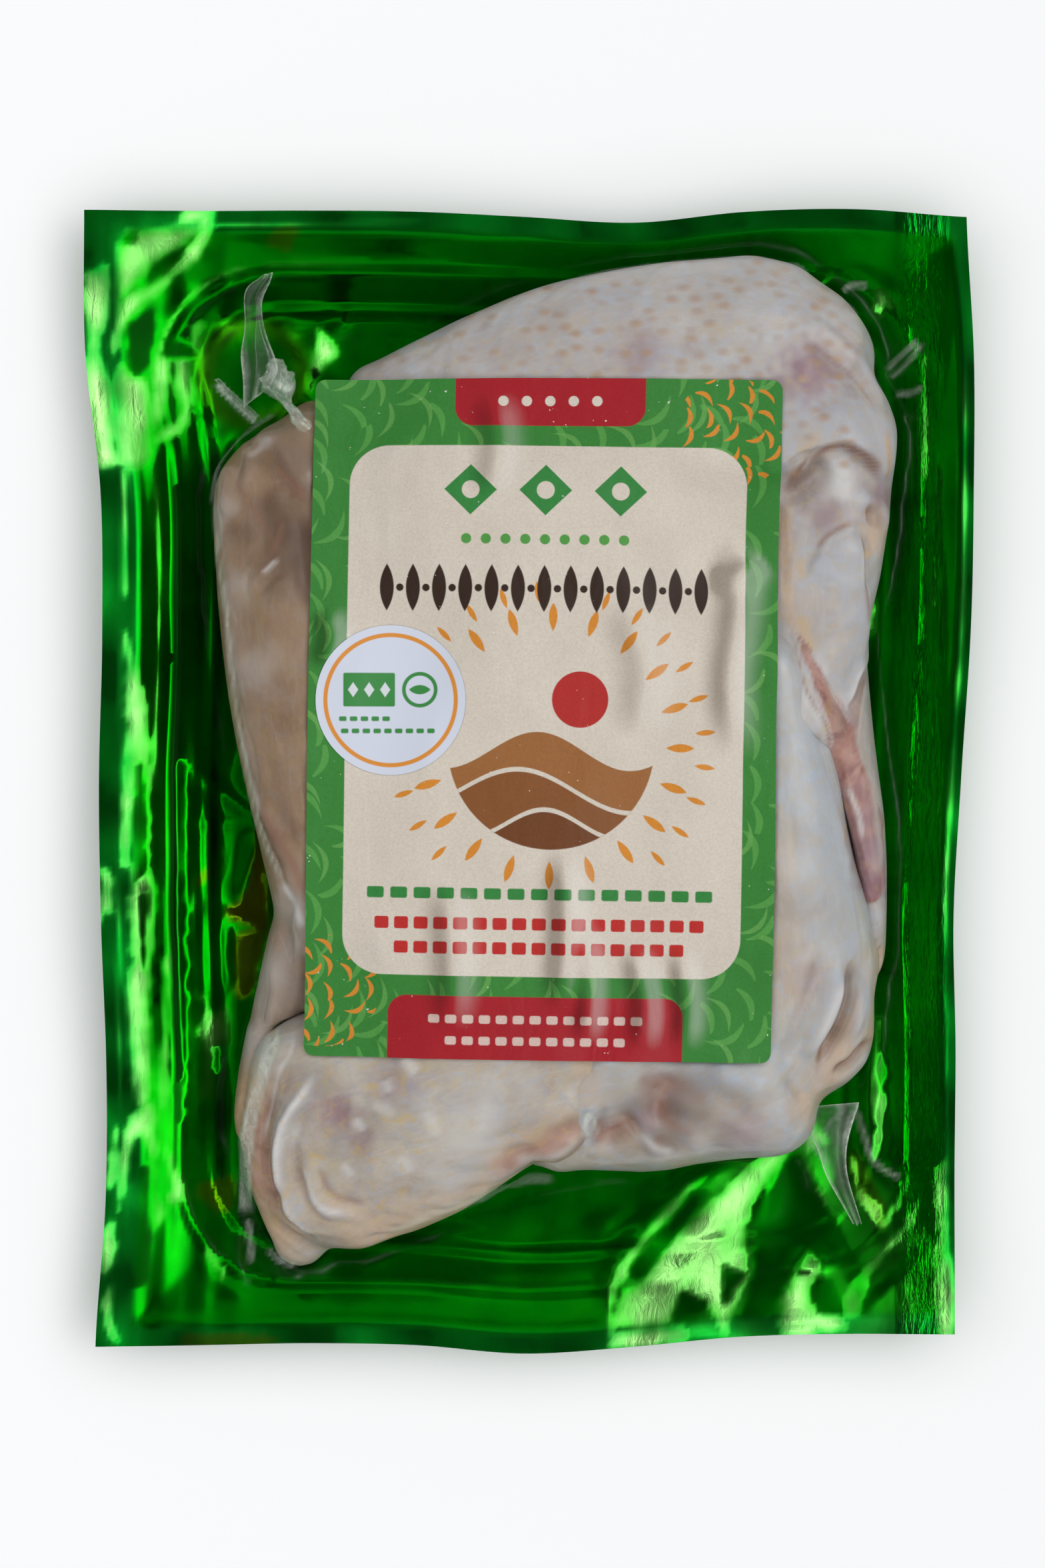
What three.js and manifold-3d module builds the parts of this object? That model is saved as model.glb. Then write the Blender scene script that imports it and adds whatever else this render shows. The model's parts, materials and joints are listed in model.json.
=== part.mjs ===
// A vacuum pack of raw chicken wings, lying on its back.
//
// A stepped tray of green foil carries four wings. A clear film is sealed to the tray's rim and
// sucked down onto the foil and the wings, and a paper label with a round sticker lies on top.
// Millimetres, +Z up, +Y towards the pack's top edge, the origin under the middle of the pack.

import * as THREE from "three";
import { mergeVertices } from "three/addons/utils/BufferGeometryUtils.js";
import Module from "manifold-3d";

const wasm = await Module();
wasm.setup();

// The cut sheet
const PACK_WIDTH = 195.4;
const PACK_LENGTH = 250.6;
// How far the vacuum draws each cut edge in, at even steps from left to right or bottom to top
const DRAWN_BOTTOM = [1.6, 1.9, 2.4, 2.0, 0.1, 1.5, 3.8, 4.6, 4.5];
const DRAWN_RIGHT = [4.5, 4.5, 4.1, 4.6, 2.8, 0.9, 0.3, 0.2, 1.9];
const DRAWN_TOP = [0.1, 0.4, 0.4, 0.6, 1.6, 2.8, 0.6, 0.2, 1.9];
const DRAWN_LEFT = [2.9, 5.0, 5.2, 4.2, 3.7, 4.5, 4.1, 0.6, 0.4];

// The tray: the rim's width on each side, its height, and the steps of the wall inside it
const RIM = { left: 8, right: 3, bottom: 4.5, top: 4.5 };
const RIM_HEIGHT = 12;
const RIM_WAVE = 1.3;
const CUT_CORNER = 1.5;
const FOIL = 0.7;
// Each step of the wall: how far inside the pocket's edge, how high, and its corner radius
const WALL_STEPS = [
  { inside: 0, height: 12, corner: 3 },
  { inside: 1.2, height: 11, corner: 6 },
  { inside: 7.4, height: 7.3, corner: 28 },
  { inside: 8.6, height: 7.7, corner: 27 },
  { inside: 9.8, height: 6.3, corner: 26 },
  { inside: 15, height: 2.6, corner: 21 },
  { inside: 16.4, height: 2.7, corner: 20 },
  { inside: 18, height: 1, corner: 18 },
  { inside: 21.5, height: 0, corner: 15 },
];
const SIDE_STEPS = 10;
const CORNER_STEPS = 4;

// The clear film where it lies on the tray, and the clearance between any two pieces
const FILM = 0.4;
const FILM_MARGIN = 0.6;
const PLEAT = 0.8;
const GAP = 0.3;
// Two pleats of film stand up from it: each has its foot's two ends and its peak
const PLEATS = [
  [
    [-49, 82, -2],
    [-61, 110, -2],
    [-55, 92, 21],
  ],
  [
    [72, -68, -2],
    [73, -100, -2],
    [57, -66, 20],
  ],
];
// Deeper than the tray and higher than the label, for the solids that cut
const DEPTH = -10;
const CLEAR_HEIGHT = 60;

// The wings' sections start a little under the tray's floor, which cuts them off
const WING_FLOOR = 0.4;
const CUTTER_DEPTH = 4;
const SECTION_POINTS = 18;
const CAP_ANGLES = [72, 46, 22];
const CAP_REACH = 0.85;
const CAP_POWER = 0.55;
const WAIST_SHARE = 0.42;
const SHOULDER_POWER = 2.3;
const FOOT_POWER = 5;
const FOOT_TUCK = 0.1;

// The paper label and the round sticker on it
const LABEL_WIDTH = 100;
const LABEL_LENGTH = 145.5;
const LABEL_CENTRE = new THREE.Vector2(2.9, 13.3);
const LABEL_TURN = THREE.MathUtils.degToRad(-0.6);
const LABEL_CORNER = 3;
const PAPER = 0.5;
// The height of its underside at even steps, in rows from its lower edge up, as it lies on the wings
const LABEL_HEIGHTS = [
  [31, 35, 36, 32, 31.5],
  [30.5, 36, 37, 37, 35.5],
  [35, 37, 38, 37, 32.5],
  [31, 36, 37.5, 37, 31],
  [23, 28.5, 35, 37.5, 37],
];
const LABEL_RIPPLE = 0.5;
const LABEL_GRID = [14, 14];
const STICKER_DIAMETER = 32;
const STICKER_CENTRE = new THREE.Vector2(-29.4, 17.4);
const STICKER_RINGS = [0.25, 0.62, 1];
const STICKER_POINTS = 28;

const COLOURS = {
  foil: { color: 0x0b7a12, roughness: 0.22, metalness: 0.9 },
  film: { color: 0xdfe8e2, roughness: 0.1, metalness: 0, transparent: true, opacity: 0.35 },
  skin: { color: 0xe3cfc0, roughness: 0.38, metalness: 0 },
  paper: { color: 0x3f9140, roughness: 0.55, metalness: 0 },
  sticker: { color: 0xf1f2f6, roughness: 0.45, metalness: 0 },
};

// The value at share t along a row of evenly spaced values, on a smooth curve
function along(values, t) {
  const points = values.map((value, i) => new THREE.Vector2(i, value));
  return new THREE.SplineCurve(points).getPoint(THREE.MathUtils.clamp(t, 0, 1)).y;
}

// A closed loft through rings of equal length, with a flat fan over its first and last ring.
// Seen from the first ring's side, the rings run anticlockwise.
function loft(rings) {
  const count = rings[0].length;
  const positions = rings.flat().flatMap((p) => [p.x, p.y, p.z]);
  const faces = [];
  for (let r = 0; r < rings.length - 1; r += 1) {
    for (let i = 0; i < count; i += 1) {
      const a = r * count + i;
      const b = r * count + ((i + 1) % count);
      faces.push(a, b + count, b, a, a + count, b + count);
    }
  }
  const ends = [
    [rings[0], 0, true],
    [rings.at(-1), (rings.length - 1) * count, false],
  ];
  for (const [ring, first, isStart] of ends) {
    const middle = ring.reduce((sum, p) => sum.add(p), new THREE.Vector3()).divideScalar(count);
    const hub = positions.length / 3;
    positions.push(middle.x, middle.y, middle.z);
    for (let i = 0; i < count; i += 1) {
      const [a, b] = [first + i, first + ((i + 1) % count)];
      faces.push(hub, isStart ? a : b, isStart ? b : a);
    }
  }
  const geometry = new THREE.BufferGeometry();
  geometry.setAttribute("position", new THREE.Float32BufferAttribute(positions, 3));
  geometry.setIndex(faces);
  return geometry;
}

function solidFrom(geometry) {
  const bare = geometry.clone();
  bare.deleteAttribute("normal");
  bare.deleteAttribute("uv");
  const merged = mergeVertices(bare, 1e-4);
  return new wasm.Manifold(
    new wasm.Mesh({
      numProp: 3,
      vertProperties: merged.attributes.position.array,
      triVerts: new Uint32Array(merged.index.array),
    }),
  );
}

function geometryFrom(solid) {
  const mesh = solid.getMesh();
  const geometry = new THREE.BufferGeometry();
  geometry.setAttribute("position", new THREE.BufferAttribute(mesh.vertProperties, 3));
  geometry.setIndex(new THREE.BufferAttribute(mesh.triVerts, 1));
  geometry.computeVertexNormals();
  return geometry;
}

// The largest of a solid's separate bodies, so that a cut leaves no loose scrap
function largestBody(solid) {
  return solid.decompose().reduce((best, body) => (body.volume() > best.volume() ? body : best));
}

// A point of the flat sheet, moved to where the vacuum has drawn it
function drawnIn(x, y) {
  const across = x / PACK_WIDTH + 0.5;
  const up = y / PACK_LENGTH + 0.5;
  const left = along(DRAWN_LEFT, up);
  const right = along(DRAWN_RIGHT, up);
  const bottom = along(DRAWN_BOTTOM, across);
  const top = along(DRAWN_TOP, across);
  return {
    x: THREE.MathUtils.lerp(-PACK_WIDTH / 2 + left, PACK_WIDTH / 2 - right, across),
    y: THREE.MathUtils.lerp(-PACK_LENGTH / 2 + bottom, PACK_LENGTH / 2 - top, up),
  };
}

// How far the loose rim lifts or dips at a place
function rimLift(x, y) {
  return RIM_WAVE * (0.7 * Math.sin(x / 19 + y / 37) + 0.5 * Math.sin(y / 13 - x / 29 + 1));
}

// One ring round the pack, anticlockwise from its lower left corner
function packRing(inset, corner, height) {
  const [x0, x1] = [-PACK_WIDTH / 2 + inset.left, PACK_WIDTH / 2 - inset.right];
  const [y0, y1] = [-PACK_LENGTH / 2 + inset.bottom, PACK_LENGTH / 2 - inset.top];
  const corners = [
    [x0 + corner, y0 + corner, Math.PI],
    [x1 - corner, y0 + corner, -Math.PI / 2],
    [x1 - corner, y1 - corner, 0],
    [x0 + corner, y1 - corner, Math.PI / 2],
  ];
  const flat = [];
  corners.forEach(([cx, cy, from], i) => {
    for (let k = 0; k <= CORNER_STEPS; k += 1) {
      const angle = from + (k / CORNER_STEPS) * (Math.PI / 2);
      flat.push([cx + corner * Math.cos(angle), cy + corner * Math.sin(angle)]);
    }
    const [startX, startY] = flat.at(-1);
    const [nextX, nextY, nextFrom] = corners[(i + 1) % 4];
    const endX = nextX + corner * Math.cos(nextFrom);
    const endY = nextY + corner * Math.sin(nextFrom);
    for (let k = 1; k < SIDE_STEPS; k += 1) {
      const share = k / SIDE_STEPS;
      flat.push([startX + (endX - startX) * share, startY + (endY - startY) * share]);
    }
  });
  const liftShare = height / RIM_HEIGHT;
  return flat.map(([x, y]) => {
    const at = drawnIn(x, y);
    return new THREE.Vector3(at.x, at.y, height + liftShare * liftShare * rimLift(x, y));
  });
}

// The tray's inner face as rings, from its floor out to a margin inside the cut edge
function trayRings(margin) {
  const within = (sides, distance) =>
    Object.fromEntries(Object.entries(sides).map(([side, width]) => [side, width + distance]));
  const cut = { left: 0, right: 0, bottom: 0, top: 0 };
  const edge = packRing(within(cut, margin), CUT_CORNER, RIM_HEIGHT);
  const wall = WALL_STEPS.map((s) => packRing(within(RIM, s.inside), s.corner, s.height));
  return [edge, ...wall].reverse();
}

function lifted(rings, height) {
  return rings.map((ring) => ring.map((p) => new THREE.Vector3(p.x, p.y, p.z + height)));
}

// A sheet that follows the tray's rings, from one height above its underside to another
function traySheet(rings, low, high) {
  return loft([...lifted(rings, high), ...lifted(rings, low).reverse()]);
}

// The half section of a limb lying on the floor: a domed back on a steep, slightly tucked foot
function limbSection(halfWidth, crest, floor) {
  const waist = floor + WAIST_SHARE * (crest - floor);
  const points = [];
  for (let i = 0; i < SECTION_POINTS; i += 1) {
    const angle = (i / SECTION_POINTS) * Math.PI * 2;
    const [c, s] = [Math.cos(angle), Math.sin(angle)];
    const power = 2 / (s >= 0 ? SHOULDER_POWER : FOOT_POWER);
    const reach = s >= 0 ? crest - waist : floor - waist;
    const tuck = s >= 0 ? 1 : 1 - FOOT_TUCK * Math.abs(s);
    points.push({
      side: halfWidth * tuck * Math.sign(c) * Math.abs(c) ** power,
      height: waist + reach * Math.abs(s) ** power,
    });
  }
  return points;
}

// One limb of a wing: rows of [x, y, half width, crest height] from end to end, swept smoothly.
// grow makes it larger all round, and deeper, to cut a neighbour back with clearance.
function limb(rows, grow = 0) {
  const spine = new THREE.SplineCurve(rows.map(([x, y]) => new THREE.Vector2(x, y)));
  const widths = rows.map((row) => row[2]);
  const crests = rows.map((row) => row[3]);
  const floor = WING_FLOOR - grow * CUTTER_DEPTH;
  const ringAt = (t, angle) => {
    const radians = THREE.MathUtils.degToRad(angle);
    const width = along(widths, t) + grow;
    const crest = along(crests, t) + grow;
    const middle = spine.getPoint(t);
    const ahead = spine.getTangent(t);
    const shrink = Math.cos(radians);
    const forward = CAP_REACH * width * Math.sin(radians);
    return limbSection(width * shrink, crest, floor).map(({ side, height }) => {
      const x = middle.x + ahead.x * forward + ahead.y * side;
      const y = middle.y + ahead.y * forward - ahead.x * side;
      return new THREE.Vector3(x, y, floor + (height - floor) * shrink ** CAP_POWER);
    });
  };
  const steps = 2 * rows.length - 1;
  const rings = CAP_ANGLES.map((angle) => ringAt(0, -angle));
  for (let k = 0; k <= steps; k += 1) rings.push(ringAt(k / steps, 0));
  CAP_ANGLES.toReversed().forEach((angle) => rings.push(ringAt(1, angle)));
  return solidFrom(loft(rings));
}

function wing(limbs, grow = 0) {
  return limbs.map((rows) => limb(rows, grow)).reduce((sum, part) => sum.add(part));
}

// Each wing's limbs, as rows of x, y, half width and crest height
const UPPER_DRUMETTE = [
  [-34, 84, 8, 22],
  [-12, 84, 18, 32],
  [16, 83, 26.5, 37.5],
  [49, 83.5, 31.5, 39],
];
const UPPER_FLAT = [
  [60, 76, 20.5, 36],
  [61, 54, 17.5, 33],
  [57, 34, 17, 33],
  [53, 14, 16, 33],
];
const UPPER_TIP = [
  [62, 32, 12, 25],
  [67, 8, 9, 24],
  [68.5, -14, 10, 23],
  [66, -40, 11, 20],
];
const RIGHT_FLAT = [
  [34, 24, 20, 36],
  [42, 0, 25, 38],
  [48, -26, 26, 38],
  [53, -48, 22.5, 34],
];
const RIGHT_ELBOW = [
  [62, -38, 14, 27],
  [60, -55, 16, 28],
];
const RIGHT_DRUMETTE = [
  [44, -58, 24, 34],
  [24, -59, 27, 34],
  [3, -63, 22, 30],
];
const LOWER_DRUMETTE = [
  [-42, -83, 21, 28],
  [-27, -72, 25.5, 34],
  [-3, -51, 26, 37],
  [14, -26, 22, 37],
];
const LOWER_JOINT = [
  [-42, -64, 18, 33],
  [-47.5, -86, 15.5, 26],
  [-50.5, -102.5, 6, 12],
];
const LEFT_FLAT = [
  [-50, 62, 19.5, 29],
  [-47, 40, 21, 34],
  [-44, 16, 21, 36.5],
  [-42, -8, 18, 35],
  [-41, -30, 14, 32],
];
const LEFT_TIP = [
  [-47, -34, 10, 25],
  [-52, -54, 9.5, 20],
  [-55.5, -72, 9, 17],
  [-57, -83, 6, 13],
];
const LEFT_MIDDLE = [
  [-14, 60, 28, 38],
  [8, 40, 32, 39],
  [0, 6, 34, 39],
  [-22, -28, 24, 38],
];

const WINGS = {
  wing_lower: [LOWER_DRUMETTE, LOWER_JOINT],
  wing_right: [RIGHT_FLAT, RIGHT_ELBOW, RIGHT_DRUMETTE],
  wing_upper: [UPPER_DRUMETTE, UPPER_FLAT, UPPER_TIP],
  wing_left: [LEFT_FLAT, LEFT_TIP, LEFT_MIDDLE],
};

// The label's underside: a crowned sheet with soft ripples
function labelHeight(x, y) {
  const across = (x - LABEL_CENTRE.x) / LABEL_WIDTH + 0.5;
  const up = (y - LABEL_CENTRE.y) / LABEL_LENGTH + 0.5;
  const ripple = LABEL_RIPPLE * Math.sin(x / 8.5 + 0.6) * Math.cos(y / 31);
  return along(LABEL_HEIGHTS.map((row) => along(row, across)), up) + ripple;
}

// A sheet over a grid of points [u, v] from 0 to 1, from one height function to another
function gridSheet(columns, rows, placeAt, lowAt, highAt) {
  const pointAt = (i, j, heightAt) => {
    const { x, y } = placeAt(i / columns, j / rows);
    return [x, y, heightAt(x, y)];
  };
  const positions = [];
  for (const heightAt of [highAt, lowAt]) {
    for (let j = 0; j <= rows; j += 1) {
      for (let i = 0; i <= columns; i += 1) positions.push(...pointAt(i, j, heightAt));
    }
  }
  const index = (i, j) => j * (columns + 1) + i;
  const below = (columns + 1) * (rows + 1);
  const faces = [];
  for (let j = 0; j < rows; j += 1) {
    for (let i = 0; i < columns; i += 1) {
      const [a, b, c, d] = [index(i, j), index(i + 1, j), index(i + 1, j + 1), index(i, j + 1)];
      faces.push(a, b, c, a, c, d, a + below, c + below, b + below, a + below, d + below, c + below);
    }
  }
  const rim = [];
  for (let i = 0; i < columns; i += 1) rim.push(index(i, 0));
  for (let j = 0; j < rows; j += 1) rim.push(index(columns, j));
  for (let i = columns; i > 0; i -= 1) rim.push(index(i, rows));
  for (let j = rows; j > 0; j -= 1) rim.push(index(0, j));
  rim.forEach((a, k) => {
    const b = rim[(k + 1) % rim.length];
    faces.push(a, a + below, b + below, a, b + below, b);
  });
  const geometry = new THREE.BufferGeometry();
  geometry.setAttribute("position", new THREE.Float32BufferAttribute(positions, 3));
  geometry.setIndex(faces);
  return geometry;
}

// A point of the label, from shares across and up it, with its corners rounded off
function labelPlace(margin) {
  return (u, v) => {
    const half = new THREE.Vector2(LABEL_WIDTH / 2 + margin, LABEL_LENGTH / 2 + margin);
    const at = new THREE.Vector2((2 * u - 1) * half.x, (2 * v - 1) * half.y);
    const core = new THREE.Vector2(half.x - LABEL_CORNER, half.y - LABEL_CORNER);
    const over = new THREE.Vector2(
      Math.max(Math.abs(at.x) - core.x, 0),
      Math.max(Math.abs(at.y) - core.y, 0),
    );
    if (over.length() > LABEL_CORNER) {
      over.setLength(LABEL_CORNER);
      at.set(Math.sign(at.x) * (core.x + over.x), Math.sign(at.y) * (core.y + over.y));
    }
    return at.rotateAround(new THREE.Vector2(), LABEL_TURN).add(LABEL_CENTRE);
  };
}

function labelSheet() {
  const high = (x, y) => labelHeight(x, y) + PAPER;
  return gridSheet(...LABEL_GRID, labelPlace(0), labelHeight, high);
}

// The space above the label's underside, where nothing else may stand
function labelSpace() {
  const low = (x, y) => labelHeight(x, y) - GAP;
  return solidFrom(gridSheet(...LABEL_GRID, labelPlace(GAP), low, () => CLEAR_HEIGHT));
}

function stickerSheet() {
  const rings = STICKER_RINGS.map((share) =>
    Array.from({ length: STICKER_POINTS }, (_, i) => {
      const angle = (i / STICKER_POINTS) * Math.PI * 2;
      const radius = (share * STICKER_DIAMETER) / 2;
      const x = STICKER_CENTRE.x + radius * Math.cos(angle);
      const y = STICKER_CENTRE.y + radius * Math.sin(angle);
      return new THREE.Vector3(x, y, labelHeight(x, y) + PAPER + GAP);
    }),
  );
  return traySheet(rings, 0, GAP);
}

// A pleat of film: a thin wedge between three points
function pleat(points) {
  const [a, b, c] = points.map((p) => new THREE.Vector3(...p));
  const outward = new THREE.Vector3().crossVectors(b.clone().sub(a), c.clone().sub(a));
  outward.setLength(PLEAT / 2);
  const near = [a, b, c].map((p) => p.clone().add(outward));
  const far = [a, b, c].map((p) => p.clone().sub(outward));
  return solidFrom(loft([near, far]));
}

function meshOf(name, geometry, look) {
  const mesh = new THREE.Mesh(geometry, new THREE.MeshStandardMaterial(look));
  mesh.name = name;
  return mesh;
}

const pack = new THREE.Group();

// The tray, drawn from one sheet
pack.add(meshOf("foil_tray", traySheet(trayRings(0), 0, FOIL), COLOURS.foil));

// The film on the tray, with its two large pleats
const filmLow = FOIL + GAP;
const filmRings = trayRings(FILM_MARGIN);
const sheet = solidFrom(traySheet(filmRings, filmLow, filmLow + FILM));
const below = solidFrom(traySheet(filmRings, DEPTH, filmLow));
const film = PLEATS.reduce((sum, points) => sum.add(pleat(points)), sheet).subtract(below);

// The wings, each cut back from those that lie on it, and pressed flat under the label
const pressed = labelSpace();
const cutters = [];
for (const [name, limbs] of Object.entries(WINGS)) {
  const whole = cutters.reduce((left, cutter) => left.subtract(cutter), wing(limbs));
  cutters.push(wing(limbs, GAP));
  const body = largestBody(whole.subtract(pressed).subtract(below));
  pack.add(meshOf(name, geometryFrom(body), COLOURS.skin));
}

// The film is open where the wings stand
const open = [...cutters, pressed].reduce((left, cutter) => left.subtract(cutter), film);
pack.add(meshOf("clear_film", geometryFrom(largestBody(open)), COLOURS.film));

pack.add(meshOf("paper_label", labelSheet(), COLOURS.paper));
pack.add(meshOf("round_sticker", stickerSheet(), COLOURS.sticker));

// The origin is under the middle of the pack
const middle = new THREE.Box3().setFromObject(pack).getCenter(new THREE.Vector3());
pack.position.set(-middle.x, -middle.y, 0);

export default pack;
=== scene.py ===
# %% [markdown]
# # A vacuum pack of raw chicken wings
#
# The real object is a shallow tray of green foil. Four folded wings lie in it, and a clear film is
# sealed to the tray's rim and sucked down onto them. A paper label and a round sticker lie on the film.
# The sizes come from a fixed CAD frame, which this script loads first. Each CAD solid is then replaced
# by a finished piece of the same form, and a floor, some lights and a camera are added.

# %% The fixed frame
import json
import math

import bpy
import numpy as np
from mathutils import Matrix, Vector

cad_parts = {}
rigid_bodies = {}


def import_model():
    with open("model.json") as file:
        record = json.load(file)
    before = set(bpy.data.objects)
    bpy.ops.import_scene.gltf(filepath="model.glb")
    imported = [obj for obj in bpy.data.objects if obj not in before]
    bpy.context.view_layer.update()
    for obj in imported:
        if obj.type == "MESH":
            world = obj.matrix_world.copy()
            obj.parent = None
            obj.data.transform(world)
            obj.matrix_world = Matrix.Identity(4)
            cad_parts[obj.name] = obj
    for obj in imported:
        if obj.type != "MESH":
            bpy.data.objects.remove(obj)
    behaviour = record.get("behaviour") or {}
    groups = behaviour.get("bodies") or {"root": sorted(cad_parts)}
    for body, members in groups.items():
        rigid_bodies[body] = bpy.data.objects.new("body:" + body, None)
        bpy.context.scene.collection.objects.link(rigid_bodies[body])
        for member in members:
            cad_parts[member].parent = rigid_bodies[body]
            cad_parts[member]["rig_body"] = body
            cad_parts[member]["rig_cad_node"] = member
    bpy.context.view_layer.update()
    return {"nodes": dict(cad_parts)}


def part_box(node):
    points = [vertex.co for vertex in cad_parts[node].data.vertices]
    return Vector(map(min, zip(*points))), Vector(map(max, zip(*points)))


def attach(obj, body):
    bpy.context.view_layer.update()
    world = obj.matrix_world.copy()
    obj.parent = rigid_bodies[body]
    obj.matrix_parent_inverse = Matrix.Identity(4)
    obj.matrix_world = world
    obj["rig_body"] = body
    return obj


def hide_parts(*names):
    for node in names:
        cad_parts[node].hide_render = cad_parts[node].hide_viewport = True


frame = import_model()

# %% [markdown]
# ## The camera
#
# The pack is seen straight down. A Blender camera that isn't turned looks down -Z with +Y up, so its
# place and its lens are all it needs. It stands 900 mm above the rim, and the lens is worked out from
# how much of the rim's plane the picture shows from bottom to top.

# %% The camera
MM = 0.001
CAMERA_PLACE = (-1.39, -0.51)
CAMERA_RISE = 900
RIM_HEIGHT = 12
SHOWN_LENGTH = 343.36
SENSOR = 36

bpy.ops.object.camera_add(
    location=(CAMERA_PLACE[0] * MM, CAMERA_PLACE[1] * MM, (CAMERA_RISE + RIM_HEIGHT) * MM),
    rotation=(0, 0, 0),
)
camera = bpy.context.object
camera.name = "camera"
camera.data.sensor_fit = "VERTICAL"
camera.data.sensor_height = SENSOR
camera.data.sensor_width = SENSOR
camera.data.lens = SENSOR * CAMERA_RISE / SHOWN_LENGTH
camera.data.clip_start = 0.01
camera.data.clip_end = 10
bpy.context.scene.camera = camera
print("lens in mm:", round(camera.data.lens, 1))

# %% [markdown]
# ## Small helpers
#
# An operator acts on everything that is selected, so each step clears the selection and takes up one
# piece. Points are read and written in millimetres as one table, because soft forms such as foil, skin
# and film are shaped by sums over all points at once, which numpy does quickly.

# %% Selecting, and reading and moving points
def clear_selection():
    if bpy.context.object and bpy.context.object.mode != "OBJECT":
        bpy.ops.object.mode_set(mode="OBJECT")
    bpy.ops.object.select_all(action="DESELECT")


def take_up(piece):
    clear_selection()
    piece.select_set(True)
    bpy.context.view_layer.objects.active = piece


def apply_modifier(piece, kind, **settings):
    take_up(piece)
    modifier = piece.modifiers.new(kind.title(), kind)
    for name, value in settings.items():
        setattr(modifier, name, value)
    bpy.ops.object.modifier_apply(modifier=modifier.name)


def places(piece):
    flat = np.empty(len(piece.data.vertices) * 3)
    piece.data.vertices.foreach_get("co", flat)
    return flat.reshape(-1, 3) / MM


def normals(piece):
    flat = np.empty(len(piece.data.vertices) * 3, dtype=np.float32)
    piece.data.vertex_normals.foreach_get("vector", flat)
    return flat.reshape(-1, 3).astype(float)


def move_to(piece, points):
    piece.data.vertices.foreach_set("co", (points * MM).ravel())
    piece.data.update()


def add_sheet(name, columns, rows):
    """A flat grid of points, -1 to 1 each way, and the order of its points row by row."""
    clear_selection()
    bpy.ops.mesh.primitive_grid_add(x_subdivisions=columns - 1, y_subdivisions=rows - 1, size=2)
    sheet = bpy.context.object
    sheet.name = sheet.data.name = name
    at = np.round(places(sheet) * MM, 5)
    order = np.lexsort((at[:, 0], at[:, 1])).reshape(rows, columns)
    bpy.ops.object.shade_smooth()
    return sheet, order


def sharpen(piece):
    """Keeps the shading of a sheet's face apart from that of its cut edge."""
    take_up(piece)
    bpy.ops.object.mode_set(mode="EDIT")
    bpy.ops.mesh.select_mode(type="EDGE")
    bpy.ops.mesh.select_all(action="DESELECT")
    bpy.ops.mesh.edges_select_sharp(sharpness=math.radians(60))
    bpy.ops.mesh.mark_sharp()
    bpy.ops.mesh.select_mode(type="VERT")
    bpy.ops.object.mode_set(mode="OBJECT")


def paint(piece, name, values):
    """Keeps one number per point, for the material to read."""
    layer = piece.data.attributes.new(name, "FLOAT", "POINT")
    layer.data.foreach_set("value", np.asarray(values, dtype=np.float32))


# %% [markdown]
# ## Folds and lumps
#
# Foil, skin and film all carry folds: ridges, valleys and laps that follow a line. One function finds
# how far each point is from a line, and the fold functions turn that distance into a height. Gentle
# lumps are a sum of a few dozen waves with seeded directions, so each run gives the same ones.

# %% Folds along a line, and lumps
def smooth_line(line, steps=5):
    """A Catmull-Rom curve through the given points."""
    line = np.array(line, float)
    padded = np.vstack([2 * line[0] - line[1], line, 2 * line[-1] - line[-2]])
    bits = []
    for p0, p1, p2, p3 in zip(padded[:-3], padded[1:-2], padded[2:-1], padded[3:]):
        t = np.linspace(0, 1, steps, endpoint=False)[:, None]
        bits.append(0.5 * (2 * p1 + (p2 - p0) * t + (2 * p0 - 5 * p1 + 4 * p2 - p3) * t**2
                           + (3 * p1 - p0 - 3 * p2 + p3) * t**3))
    return np.vstack([*bits, line[-1:]])


def along_line(at, line):
    """Each point's distance from a line, its side of it (left is +1) and its share of the way."""
    line = smooth_line(line)
    spans = np.hypot(*np.diff(line, axis=0).T)
    nearest = np.full(len(at), 1e9)
    side, way, gone = np.zeros(len(at)), np.zeros(len(at)), 0.0
    for a, b, span in zip(line[:-1], line[1:], spans):
        share = np.clip((at - a) @ (b - a) / span**2, 0, 1)
        off = at - (a + share[:, None] * (b - a))
        distance = np.hypot(*off.T)
        closer = distance < nearest
        nearest[closer] = distance[closer]
        side[closer] = np.sign((b - a)[0] * off[:, 1] - (b - a)[1] * off[:, 0])[closer]
        way[closer] = ((gone + share * span) / spans.sum())[closer]
        gone += span
    return nearest, side, way


def soft_step(x, low, high):
    t = np.clip((x - low) / (high - low), 0, 1)
    return t * t * (3 - 2 * t)


def ends_off(way, fade):
    return soft_step(way, 0, fade) * soft_step(1 - way, 0, fade)


def ridge(at, line, height, width, fade=0.3):
    """A round ridge, or a valley where the height is below zero."""
    distance, _, way = along_line(at, line)
    return height * np.exp(-((distance / width) ** 2)) * ends_off(way, fade)


def crease(at, line, height, width, fade=0.3):
    """A ridge with straight flanks, as a fold in foil has."""
    distance, _, way = along_line(at, line)
    return height * np.clip(1 - distance / width, 0, 1) ** 1.3 * ends_off(way, fade)


def trough(at, line, height, width, reach):
    """Two ridges that run beside the line, at a distance from it, and close round its ends."""
    distance, _, _ = along_line(at, line)
    return height * np.exp(-(((distance - reach) / width) ** 2))


def lap(at, line, height, width, reach, fade=0.25):
    """An edge that lies over its neighbour: raised on the line's left, and falling away behind."""
    distance, side, way = along_line(at, line)
    step = 1 / (1 + np.exp(-side * distance / width * 2.2))
    return height * step * np.exp(-((distance / reach) ** 2)) * ends_off(way, fade)


FOLD = {"ridge": ridge, "crease": crease, "trough": trough, "lap": lap}


def relief(at, folds):
    """The height that all folds make together: rows of a line and its sizes, for each kind of fold."""
    return sum(FOLD[kind](at, line, *sizes) for kind, rows in folds.items() for line, *sizes in rows)


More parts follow.
